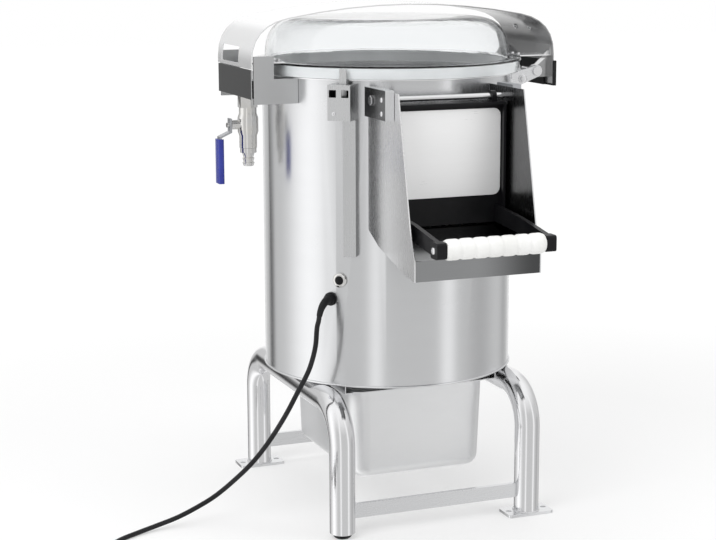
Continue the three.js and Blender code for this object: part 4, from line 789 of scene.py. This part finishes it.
def moulded(name, dark, light, roughness, grain, depth, coat=0.0, shine=0.5):
    """Plastic or rubber between two colours. Grain is the scale of the mould's skin, and depth its height."""
    made = Finish(name)
    patches = made.noise(18, detail=4)
    skin = made.noise(grain, detail=2)
    specks = made.ramp(made.noise(900, detail=1), [(0.62, (0, 0, 0)), (0.75, (1, 1, 1))])
    base = made.ramp(patches, [(0.35, dark), (0.72, light)])
    dusty = tuple(0.88 * part + 0.02 for part in light)
    made.set("Base Color", made.blend(0.3, base, made.blend(specks, base, dusty)))
    made.set("Specular IOR Level", shine)
    made.set("Coat Weight", coat)
    made.set("Roughness", roughness * (0.75 + 0.5 * patches) + 0.06 * skin)
    made.bump(skin, depth)
    return made.material


rubber = moulded(
    "matt rubber", (0.008, 0.008, 0.009), (0.018, 0.018, 0.019),
    roughness=0.55, grain=700, depth=0.00006, shine=0.2)
lead_rubber = moulded(
    "lead sheath", (0.008, 0.008, 0.009), (0.018, 0.018, 0.02),
    roughness=0.4, grain=300, depth=0.00005, shine=0.25)
black = moulded(
    "black moulding", (0.004, 0.004, 0.005), (0.01, 0.01, 0.011),
    roughness=0.32, grain=600, depth=0.00003, shine=0.2)
silicone = moulded(
    "pale silicone", (0.74, 0.75, 0.75), (0.83, 0.84, 0.84),
    roughness=0.4, grain=300, depth=0.00005, shine=0.4)
white = moulded(
    "white moulding", (0.78, 0.78, 0.76), (0.88, 0.88, 0.87),
    roughness=0.36, grain=420, depth=0.0002, coat=0.15)
blue = moulded(
    "dipped blue vinyl", (0.012, 0.022, 0.26), (0.025, 0.05, 0.38),
    roughness=0.32, grain=160, depth=0.0002, coat=0.3)
print("plastics and rubbers made")

# %% [markdown]
# CAD meshes have sharp edges, which no real sheet or casting has, and a sharp edge never catches the light.
# Modifiers mend that and leave the meshes as they are. The first joins the corners of neighbouring faces, the
# second the faces that lie in one plane. The third shades gentle edges smooth, and the last rounds every
# sharp edge a little.

# %% Modifiers that soften a piece
SHARP = math.radians(48)  # edges below this angle are gentle
SAME_CORNER = 0.00001
SAME_PLANE = math.radians(0.6)


def smoothing_group():
    """A geometry node group that drops the CAD's own normals and shades smooth across gentle edges."""
    group = bpy.data.node_groups.new("smooth gentle edges", "GeometryNodeTree")
    group.interface.new_socket("Geometry", in_out="INPUT", socket_type="NodeSocketGeometry")
    group.interface.new_socket("Geometry", in_out="OUTPUT", socket_type="NodeSocketGeometry")
    net = Net(group)
    inlet = net.wire("NodeGroupInput")
    bare = net.wire("GeometryNodeRemoveAttribute", None, {0: inlet, "Name": "custom_normal"})
    angle = net.wire("GeometryNodeInputMeshEdgeAngle")
    gentle = net.wire(
        "FunctionNodeCompare", {"data_type": "FLOAT", "operation": "LESS_THAN"},
        {0: angle, 1: SHARP})
    faces = net.wire(
        "GeometryNodeSetShadeSmooth", {"domain": "FACE"}, {0: bare, "Shade Smooth": True})
    edges = net.wire(
        "GeometryNodeSetShadeSmooth", {"domain": "EDGE"}, {0: faces, "Shade Smooth": gentle})
    net.node("NodeGroupOutput", None, {0: edges})
    return group


smoothing = smoothing_group()


def soften(piece, edge, from_cad=True):
    """Rounds a piece's edges by modifiers. The edge is the width of the round."""
    if from_cad:
        weld = piece.modifiers.new("join loose corners", "WELD")
        weld.merge_threshold = SAME_CORNER
        flat = piece.modifiers.new("join flat faces", "DECIMATE")
        flat.decimate_type = "DISSOLVE"
        flat.angle_limit = SAME_PLANE
    smooth = piece.modifiers.new("smooth gentle edges", "NODES")
    smooth.node_group = smoothing
    if edge:
        bevel = piece.modifiers.new("round the edges", "BEVEL")
        bevel.width = edge
        bevel.segments = 2
        bevel.limit_method = "ANGLE"
        bevel.angle_limit = SHARP
        bevel.harden_normals = True


print("modifiers ready")

# %% [markdown]
# Each CAD piece takes the finish of its record's slot, or a better one where the photograph shows more: the
# grain of a drum runs round it, and that of a folded sheet along its fold.

# %% Finishes for the CAD pieces
by_slot = {
    "stainless": level_steel, "polished": bright_steel, "dark_steel": dull_steel, "cast_iron": iron,
    "motor_paint": enamel, "grit": grit, "clear": clear, "rubber": rubber, "black": black, "white": white,
    "blue": blue, "nickel": valve_nickel,
}
special = {
    "body_shell": drum_steel, "top_ring": ring_steel, "chamber_pan": lathe_steel, "base_plate": lathe_steel,
    "door_panel": panel_steel, "cable_duct": duct_steel, "switch_box": box_steel,
    "switch_tongue": box_steel, "door_hinge_pin": bolt_steel, "cover_hinge_pin": bolt_steel,
    "handle_rod": bolt_steel, "drive_shaft": bolt_steel, "chute_floor": floor_steel,
    "chute_side_left": upright_steel, "chute_side_right": chute_steel, "cover_arch": arch_steel,
    "inlet_shelf": shelf_steel, "lid_seal": silicone, "door_hinge_block_left": block_steel,
    "door_hinge_block_right": dull_steel,
}
PLAIN_EDGE = 0.0005
own_edge = {"body_shell": 0.0004, "abrasive_disc": 0.002, "abrasive_liner": 0, "motor_housing": 0.003}
for part in frame["record"]["subparts"]:
    node = frame["nodes"][part["node"]]
    node.material_slots[0].material = special.get(part["node"], by_slot[part["material_slot"]])
    soften(node, own_edge.get(part["node"], PLAIN_EDGE))
lead.data.materials.append(lead_rubber)

# %% [markdown]
# Most of the finer pieces are made as meshes from rings of points. A list of rings makes a lofted skin. Every
# new mesh goes through one helper, which gives it its finish, the body that it rides on, and the CAD pieces
# that it stands for.

# %% New pieces and lofts


def new_piece(name, places, faces, material, body, slot, *stands_for, edge=0.0):
    """A finished piece in the shared frame, riding on a body, that may stand for CAD pieces."""
    mesh = bpy.data.meshes.new(name)
    mesh.from_pydata([tuple(place) for place in places], [], faces)
    mesh.validate()
    skin = bmesh.new()
    skin.from_mesh(mesh)
    bmesh.ops.recalc_face_normals(skin, faces=skin.faces)
    skin.to_mesh(mesh)
    skin.free()
    mesh.materials.append(material)
    piece = bpy.data.objects.new(name, mesh)
    bpy.context.scene.collection.objects.link(piece)
    soften(piece, edge, from_cad=False)
    if stands_for:
        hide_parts(*stands_for)
    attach(piece, body)
    return piece


def loft_faces(rings, count, closed=False):
    """Quads between rings of the same number of points, with caps unless the rings close on themselves."""
    faces = []
    for ring in range(rings if closed else rings - 1):
        low, high = ring * count, ((ring + 1) % rings) * count
        for i in range(count):
            nxt = (i + 1) % count
            faces.append((low + i, low + nxt, high + nxt, high + i))
    if not closed:
        faces.append(tuple(reversed(range(count))))
        faces.append(tuple(range((rings - 1) * count, rings * count)))
    return faces


print("loft helpers ready")

# %% [markdown]
# A profile that is turned round an axis makes a lathe piece. Blender has a modifier for that too, but points
# in code can be counted and capped as they should be.

# %% Turned pieces
ROUND_STEPS = 144  # round the drum's axis


def spun(profile, sides, middle, axis):
    """The points of a profile of (radius, height) at each step round an axis."""
    turn = UP.rotation_difference(axis).to_matrix()
    places = []
    for step in range(sides):
        angle = 2 * math.pi * step / sides
        for radius, height in profile:
            flat = Vector((radius * math.cos(angle), radius * math.sin(angle), height))
            places.append(middle + turn @ flat)
    return places


def turned(profile, sides, middle, axis=UP):
    """Places and faces of a closed profile turned round an axis."""
    count = len(profile)
    faces = []
    for step in range(sides):
        here, there = step * count, ((step + 1) % sides) * count
        for i in range(count):
            nxt = (i + 1) % count
            faces.append((here + i, there + i, there + nxt, here + nxt))
    return spun(profile, sides, middle, axis), faces


def solid_turned(profile, sides, middle, axis=UP):
    """As turned, but the profile starts and ends on the axis, so it is capped there by fans."""
    turn = UP.rotation_difference(axis).to_matrix()
    caps = [middle + turn @ Vector((0, 0, height)) for height in (profile[0][1], profile[-1][1])]
    inner = profile[1:-1]
    count = len(inner)
    faces = []
    for step in range(sides):
        here, there = 2 + step * count, 2 + ((step + 1) % sides) * count
        faces.append((0, there, here))
        faces.append((1, here + count - 1, there + count - 1))
        for i in range(count - 1):
            faces.append((here + i, there + i, there + i + 1, here + i + 1))
    return caps + spun(inner, sides, middle, axis), faces


print("lathe helpers ready")

# %% [markdown]
# Two more shapes are needed: a ring with round corners, for the pan and the foot plates, and a tube along a
# line, for the side frames.

# %% Rings and tubes


def rounded_ring(half_x, half_y, radius, z, corner_steps=10):
    """A level ring of points round a rectangle with round corners, beside the drum's axis."""
    points = []
    for corner in range(4):
        sign_x = 1 if corner in (0, 3) else -1
        sign_y = 1 if corner < 2 else -1
        for step in range(corner_steps + 1):
            angle = (corner + step / corner_steps) * math.pi / 2
            x = sign_x * (half_x - radius) + radius * math.cos(angle)
            y = sign_y * (half_y - radius) + radius * math.sin(angle)
            points.append(at(x, y, z))
    return points


def tube(points, radius, sides=40):
    """Places and faces of a tube along a line, with its section carried along without twisting."""
    places = []
    before = (points[1] - points[0]).normalized()
    across = before.orthogonal().normalized()
    for i, point in enumerate(points):
        back = point - points[max(i - 1, 0)]
        ahead = points[min(i + 1, len(points) - 1)] - point
        way = (back.normalized() + ahead.normalized()).normalized()
        across = before.rotation_difference(way) @ across
        before = way
        over = way.cross(across)
        for side in range(sides):
            angle = 2 * math.pi * side / sides
            places.append(point + radius * (across * math.cos(angle) + over * math.sin(angle)))
    return places, loft_faces(len(points), sides)


print("ring and tube helpers ready")

# %% [markdown]
# Each side frame is one tube, bent twice, with a flat plate welded under its legs. The left front leg ends
# above a levelling foot instead. The tube is swept here with fine bends, because the CAD's few flats would
# show in a polished tube.

# %% The line of a side frame
TRACK = 0.165  # from the drum's axis to the middle of a frame
BASE = 0.215  # half the distance between a frame's legs
TUBE = 0.0212  # the tube's radius
TUBE_TOP = 0.2125  # height of the tube's middle line
BEND = 0.064
LEVEL_FOOT_TOP = 0.0083


def frame_line(side, front_low, rear_low, bend_steps=22):
    """The tube's middle line, up the front leg, back under the drum and down the rear leg."""
    line = [at(side * TRACK, -BASE, front_low)]
    for sign in (-1, 1):
        middle_y, middle_z = sign * (BASE - BEND), TUBE_TOP - BEND
        for step in range(bend_steps + 1):
            angle = math.pi / 2 * step / bend_steps
            if sign > 0:
                angle = math.pi / 2 - angle
            line.append(at(
                side * TRACK, middle_y + sign * BEND * math.cos(angle), middle_z + BEND * math.sin(angle)))
    line.append(at(side * TRACK, BASE, rear_low))
    return line


print("points on a frame's line:", len(frame_line(1, 0, 0)))

# %% [markdown]
# A foot plate is cut from flat bar and has two holes for floor screws. A mesh would need its holes cut, while
# a flat curve takes them as further outlines and is then extruded and bevelled.

# %% Foot plates
PLATE = 0.005  # thickness
PLATE_HALF = (0.041, 0.023)
PLATE_CORNER = 0.006
PLATE_EDGE = 0.0004
HOLE = 0.0045  # radius
HOLE_REACH = 0.032  # from the plate's middle


def circle(radius, middle_x=0, steps=24):
    angles = [2 * math.pi * step / steps for step in range(steps)]
    return [(middle_x + radius * math.cos(angle), radius * math.sin(angle)) for angle in angles]


def foot_plate(name, side, y, frame_node):
    """A flat curve with two holes, as thick as the plate."""
    curve = bpy.data.curves.new(name, "CURVE")
    curve.dimensions = "2D"
    curve.fill_mode = "BOTH"
    curve.extrude = PLATE / 2 - PLATE_EDGE
    curve.bevel_depth = PLATE_EDGE
    curve.offset = -PLATE_EDGE
    corners = [place - AXIS for place in rounded_ring(*PLATE_HALF, PLATE_CORNER, 0, corner_steps=6)]
    outlines = [[(corner.x, corner.y) for corner in corners]]
    outlines += [circle(HOLE, middle_x=end * HOLE_REACH) for end in (-1, 1)]
    for outline in outlines:
        spline = curve.splines.new("POLY")
        spline.points.add(len(outline) - 1)
        for target, (x, along) in zip(spline.points, outline):
            target.co = (x, along, 0, 1)
        spline.use_cyclic_u = True
    piece = bpy.data.objects.new(name, curve)
    piece.location = at(side * TRACK, y, PLATE / 2)
    bpy.context.scene.collection.objects.link(piece)
    curve.materials.append(level_steel)
    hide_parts(frame_node)
    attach(piece, "machine")
    return piece


print("plate helper ready")

# %% [markdown]
# The weld round a leg is a bead with ripples, as a welder leaves it: a ring whose own radius swells and
# shrinks as it goes round.

# %% Welds
WELD = 0.0014  # radius of the bead
WELD_RIPPLE = 0.14  # how much it swells and shrinks
WELD_HEIGHT = 0.8  # of its width


def weld_ring(name, middle, radius, ripples=46):
    """A bead round an upright tube, with the ripples of a weld."""
    steps, sides = ripples * 5, 10
    places = []
    for step in range(steps):
        angle = 2 * math.pi * step / steps
        swell = WELD * (1 + WELD_RIPPLE * math.sin(angle * ripples))
        for side in range(sides):
            around = 2 * math.pi * side / sides
            reach = radius + swell * math.cos(around)
            rise = swell * WELD_HEIGHT * math.sin(around)
            places.append(middle + Vector((reach * math.cos(angle), reach * math.sin(angle), rise)))
    return new_piece(name, places, loft_faces(steps, sides, closed=True), bolt_steel, "machine", "stainless")


print("weld helper ready")

# %% [markdown]
# A left and a right frame come from one loop. Only the left front leg has no plate.

# %% The side frames
for side, label in ((-1, "left"), (1, "right")):
    front_low = LEVEL_FOOT_TOP if side < 0 else PLATE
    cad_frame = f"side_frame_{label}"
    places, faces = tube(frame_line(side, front_low, PLATE), TUBE)
    new_piece(f"frame_tube_{label}", places, faces, tube_steel, "machine", "polished", cad_frame, edge=0.0006)
    for sign, end in ((-1, "front"), (1, "rear")):
        if side < 0 and sign < 0:
            continue
        foot_plate(f"foot_plate_{end}_{label}", side, sign * BASE, cad_frame)
        foot = at(side * TRACK, sign * BASE, PLATE + PLATE_EDGE)
        weld_ring(f"foot_weld_{end}_{label}", foot, TUBE)
print("frames, plates and welds made")

# %% [markdown]
# The pan is drawn from one sheet of steel, so every corner is round and the walls lean in a little. A loft of
# level rings makes it: from under its floor up the outside, over the rim, and down the inside to the floor.

# %% The peel pan
PAN_TOP = 0.223
PAN_LOW = 0.067
PAN_HALF = (0.120, 0.150)
PAN_WALL = 0.0015
PAN_CORNER = 0.030
DRAFT = 0.004  # how far the walls lean in
FLOOR_ROUND = 0.020
RIM_REACH = 0.0125
RIM_CORNER = 0.034
RIM = 0.002  # the rim's thickness
RIM_ROUND = 0.0008


def pan_ring(inset, corner, z):
    return rounded_ring(PAN_HALF[0] - inset, PAN_HALF[1] - inset, corner, z)


def pan_floor(thick, steps=8):
    """Rings from the floor up to the wall, outside or, with the wall's thickness, inside."""
    rings = []
    radius = FLOOR_ROUND - thick
    for step in range(steps + 1):
        angle = math.pi / 2 * step / steps
        tuck = thick + radius * (1 - math.sin(angle))
        height = PAN_LOW + thick + radius * (1 - math.cos(angle))
        rings.append(pan_ring(DRAFT + tuck, PAN_CORNER - tuck, height))
    return rings


def pan_piece():
    rings = pan_floor(0)
    rings.append(pan_ring(0, PAN_CORNER, PAN_TOP - RIM))
    for inset, drop in ((RIM_ROUND, RIM), (0, RIM - RIM_ROUND), (0, RIM_ROUND), (RIM_ROUND, 0)):
        rings.append(pan_ring(inset - RIM_REACH, RIM_CORNER, PAN_TOP - drop))
    rings.append(pan_ring(-RIM, PAN_CORNER, PAN_TOP))
    rings.append(pan_ring(PAN_WALL, PAN_CORNER - PAN_WALL, PAN_TOP - 1.5 * RIM))
    rings += reversed(pan_floor(PAN_WALL))
    places = [place for ring in rings for place in ring]
    faces = loft_faces(len(rings), len(rings[0]))
    return new_piece("pan", places, faces, pan_steel, "pan", "stainless", "peel_tray")


pan_piece()
print("pan made")

# %% [markdown]
# The lid is a lathe piece: a skirt over the drum's ring, a flange, a wall and a domed shoulder. It is drawn
# as a middle line and given its thickness on both sides, so its inner face follows the outer one and it
# refracts like a thin moulding. Two helpers come first: a cubic curve for the shoulder, and a line beside
# another.

# %% Curves in the plane


def bezier(a, b, c, d, steps):
    """Points of a cubic curve in the plane."""
    points = []
    for i in range(steps + 1):
        t = i / steps
        weights = ((1 - t) ** 3, 3 * t * (1 - t) ** 2, 3 * t * t * (1 - t), t ** 3)
        points.append(tuple(sum(w * p[axis] for w, p in zip(weights, (a, b, c, d))) for axis in (0, 1)))
    return points


def beside(line, reach):
    """A line at a distance from another in the plane, with its corners kept sharp."""
    points = []
    for i, (a, b) in enumerate(line):
        before, after = line[max(i - 1, 0)], line[min(i + 1, len(line) - 1)]
        into = Vector((a - before[0], b - before[1])).normalized()
        onward = Vector((after[0] - a, after[1] - b)).normalized()
        along = (into + onward).normalized()
        first = onward if i == 0 else into
        widen = reach / max(along.dot(first), 0.5)
        points.append((a - along.y * widen, b + along.x * widen))
    return points


print("curve helpers ready")

# %% [markdown]
# The lid's skirt has a small round where it meets the flange, and the wall a small one where it leaves it.
# The profile is spun once round, with its ends capped on the axis.

# %% The clear lid
LID_RADIUS = 0.226
SKIRT_LOW = 0.7335
FLANGE_TOP = 0.7535
LID_RISE = 0.066
LID_WALL = 0.0035
FLANGE_WIDTH = 0.021
SHOULDER_WIDTH = 0.065
LID_MIDDLE = 0.075  # a ring on the flat top
SHOULDER_PULL = (0.62, 0.2)  # of its rise and of its width, where the curve's handles end
# Small rounds where the skirt and the wall meet the flange. Each point is so far out from the skirt's or the
# wall's line, and so far up from the flange's top.
SKIRT_ROUND = [(0, -0.004), (-0.0008, -0.0024), (-0.0025, -LID_WALL / 2)]
WALL_ROUND = [(0.003, -LID_WALL / 2), (0.0008, -0.0008)]


def lid_piece():
    half = LID_WALL / 2
    lid_top = FLANGE_TOP + LID_RISE
    wall = LID_RADIUS - FLANGE_WIDTH - half
    flat = wall + half - SHOULDER_WIDTH
    up, inward = SHOULDER_PULL
    shoulder = bezier(
        (wall, FLANGE_TOP), (wall, FLANGE_TOP + LID_RISE * up),
        (wall - (wall - flat) * inward, lid_top), (flat, lid_top), 18)
    skirt = LID_RADIUS - half
    line = [(skirt, SKIRT_LOW)]
    line += [(skirt + out, FLANGE_TOP + rise) for out, rise in SKIRT_ROUND]
    line += [(wall + out, FLANGE_TOP + rise) for out, rise in WALL_ROUND]
    line += shoulder[1:] + [(LID_MIDDLE, lid_top), (0, lid_top)]
    profile = beside(line, -half)[::-1] + beside(line, half)
    places, faces = solid_turned(profile, ROUND_STEPS, AXIS)
    return new_piece("lid", places, faces, clear, "cover", "clear", "clear_lid")


lid_piece()
print("lid made")

# %% [markdown]
# The handle's grip is a white moulding with seven soft ribs. It could be modelled rib by rib, but one lathe
# profile does for all: its radius follows a power of a cosine, which gives full ribs and narrow grooves.

# %% The ribbed grip
GRIP_Y = -0.422
GRIP_Z = 0.500
GRIP_HALF = 0.0814  # half its length
GRIP_BORE = 0.0063
GRIP_RADIUS = 0.0144  # between the ribs
RIB_HEIGHT = 0.0016
RIBS = 7
RIB_FULLNESS = 12  # the higher, the narrower the grooves between them
RIB_MARGIN = 0.0012  # from the ribs to the grip's end
END_RADIUS = 0.0142
END_ROUND = (0.0007, 0.0008)  # off the end's radius and off its length


def grip_piece(steps=12):
    off, back = END_ROUND
    end = [(END_RADIUS, GRIP_HALF - back), (END_RADIUS - off, GRIP_HALF), (GRIP_BORE, GRIP_HALF)]
    ribbed_half = GRIP_HALF - RIB_MARGIN
    profile = [(radius, -x) for radius, x in reversed(end)]
    for step in range(RIBS * steps + 1):
        share = step / (RIBS * steps)
        crest = 1 - abs(math.cos(math.pi * share * RIBS)) ** RIB_FULLNESS
        profile.append((GRIP_RADIUS + RIB_HEIGHT * crest, (2 * share - 1) * ribbed_half))
    places, faces = turned(profile + end, 56, at(0, GRIP_Y, GRIP_Z), Vector((1, 0, 0)))
    return new_piece("grip", places, faces, white, "door", "white", "handle_grip")


grip_piece()
print("grip made")

# %% [markdown]
# Bolts and screws are small, but they show how the machine is held together. One helper makes a hex
# head on a washer and another a domed head with a driver's recess. Each is turned to face out of its surface
# and rides on the body it is screwed to.

# %% Bolts and screws
BOLT_STEPS = 36  # points on each of a bolt's rings
DOME = math.radians(67.5)  # the part of a quarter circle that a dome takes up


def hex_ring(half):
    """A hexagon from as many points as a round ring. Half is half its width across the flats."""
    ring = []
    for step in range(BOLT_STEPS):
        angle = 2 * math.pi * step / BOLT_STEPS
        reach = half / math.cos(angle % (math.pi / 3) - math.pi / 6)
        ring.append((reach * math.cos(angle), reach * math.sin(angle)))
    return ring


def hex_bolt(name, place, way, across, body):
    """A hex head with a chamfered top on a round washer."""
    turn = UP.rotation_difference(Vector(way).normalized()).to_matrix()
    half, washer, thick, height = across / 2, across * 0.78, across * 0.1, across * 0.42
    disc = [(washer - thick / 3, 0), (washer, thick / 3), (washer, thick * 0.7), (washer - thick / 3, thick)]
    crown = [(half * 0.96, height + across * 0.05), (half * 0.7, height + across * 0.06)]
    levels = [(circle(radius, steps=BOLT_STEPS), level) for radius, level in disc]
    levels += [(hex_ring(half), thick * 1.1), (hex_ring(half), height)]
    levels += [(circle(radius, steps=BOLT_STEPS), level) for radius, level in crown]
    places = [place + turn @ Vector((x, y, level)) for ring, level in levels for x, y in ring]
    faces = loft_faces(len(levels), len(levels[0][0]))
    return new_piece(name, places, faces, bolt_steel, body, "polished")


def domed_screw(name, place, way, radius, body, steps=6):
    """A domed head with a round recess."""
    profile = [(0, 0), (radius, 0)]
    for step in range(steps + 1):
        angle = DOME * step / steps
        profile.append((radius * math.cos(angle) ** 0.8, radius * (0.14 + 0.5 * math.sin(angle))))
    profile += [(radius * 0.42, radius * 0.6), (radius * 0.36, radius * 0.3), (0, radius * 0.24)]
    places, faces = solid_turned(profile, 28, place, Vector(way).normalized())
    return new_piece(name, places, faces, bolt_steel, body, "polished")


print("bolt helpers ready")

# %% [markdown]
# The fasteners' places follow from the pieces that they hold. One screw closes the switch box and two are in
# the arch's shoulder. Two screws hold the left hinge block, one bolt each lug of the cover's hinge, two bolts
# each bracket between the arch and the lid, and a screw each end of the handle.

# %% The fasteners
BOX_WAY = radial(-39.79)  # the way that the switch box faces
BOX_FRONT = 0.248  # from the drum's axis
BOX_SCREW = (0.008, 0.681)  # beside the box's middle, and height
BLOCK_FACE = (-0.1213, -0.277)  # X and Y of the left hinge block's outer face
BLOCK_SCREWS = (0.709, 0.688)  # their heights
ARCH_SHOULDER = (0.2535, 0.798)  # X and height
ARCH_WAY = (-0.81, 0, -0.585)  # the arch's inner side there
ARCH_SCREW = 0.027  # from the arch's middle line
LUG_BOLT = (0.2105, 0.0891, 0.7165)
ARM_FACE = 0.098  # from the drum's axis to the handle's end
BRACKET_X = 0.2135
BRACKET_BOLTS = (-0.063, -0.041)  # Y of each pair
BRACKET_TOP = FLANGE_TOP + 0.0023

box_screw = at(0, 0, BOX_SCREW[1]) + BOX_WAY * BOX_FRONT - UP.cross(BOX_WAY) * BOX_SCREW[0]
domed_screw("switch_box_screw", box_screw, BOX_WAY, radius=0.0032, body="machine")
for height in BLOCK_SCREWS:
    name = f"hinge_block_screw_{height * 1000:.0f}"
    domed_screw(name, at(*BLOCK_FACE, height), (-1, 0, 0), radius=0.0042, body="machine")
for end, label in ((-1, "front"), (1, "rear")):
    x, z = ARCH_SHOULDER
    domed_screw(f"arch_screw_{label}", at(x, end * ARCH_SCREW, z), ARCH_WAY, radius=0.005, body="cover")
    x, y, z = LUG_BOLT
    hex_bolt(f"lug_bolt_{label}", at(x, end * y, z), (0, end, 0), across=0.010, body="machine")
for side, label in ((-1, "left"), (1, "right")):
    place = at(side * ARM_FACE, GRIP_Y, GRIP_Z)
    domed_screw(f"handle_screw_{label}", place, (side, 0, 0), radius=0.0055, body="door")
    for y in BRACKET_BOLTS:
        name = f"bracket_bolt_{label}_{abs(y) * 1000:.0f}"
        hex_bolt(name, at(side * BRACKET_X, y, BRACKET_TOP), UP, across=0.0075, body="cover")
print("fasteners made")

# %% [markdown]
# The drum is rolled from one sheet. It is welded shut at the back, and its lower edge is rolled to a bead, so
# that no raw edge is left. The seam is an upright bead with a weld's ripples, and the hem a turned ring.

# %% The drum's seam and hem
DRUM_LOW = 0.234
DRUM_TOP = 0.730
SEAM_LOW = DRUM_LOW + 0.004
SEAM_TOP = DRUM_TOP - 0.008
SEAM_SUNK = 0.0004
SEAM_HALF = (0.0022, 0.0009)  # along the drum's surface and out of it
SEAM_RIPPLE = 0.12  # how much it swells and shrinks
HEM = 0.0016  # radius of the bead
HEM_OUT = 0.4 * HEM  # from the drum's surface to the bead's middle


def back_seam(ripples=150, sides=8):
    places = []
    steps = ripples * 4
    wide, out = SEAM_HALF
    foot = at(0, DRUM - SEAM_SUNK, 0)
    for step in range(steps + 1):
        share = step / steps
        swell = 1 + SEAM_RIPPLE * math.sin(2 * math.pi * ripples * share)
        height = SEAM_LOW + share * (SEAM_TOP - SEAM_LOW)
        for side in range(sides):
            angle = 2 * math.pi * side / sides
            bead = Vector((wide * math.cos(angle), out * math.sin(angle), 0))
            places.append(foot + swell * bead + height * UP)
    return new_piece("drum_seam", places, loft_faces(steps + 1, sides), lathe_steel, "machine", "stainless")


def drum_hem(steps=10):
    profile = []
    for step in range(steps):
        angle = 2 * math.pi * step / steps
        radius = DRUM + HEM_OUT + HEM * math.cos(angle)
        profile.append((radius, DRUM_LOW + HEM * (1 + math.sin(angle))))
    places, faces = turned(profile, ROUND_STEPS, AXIS)
    return new_piece("drum_hem", places, faces, lathe_steel, "machine", "stainless")


back_seam()
drum_hem()
print("seam and hem made")
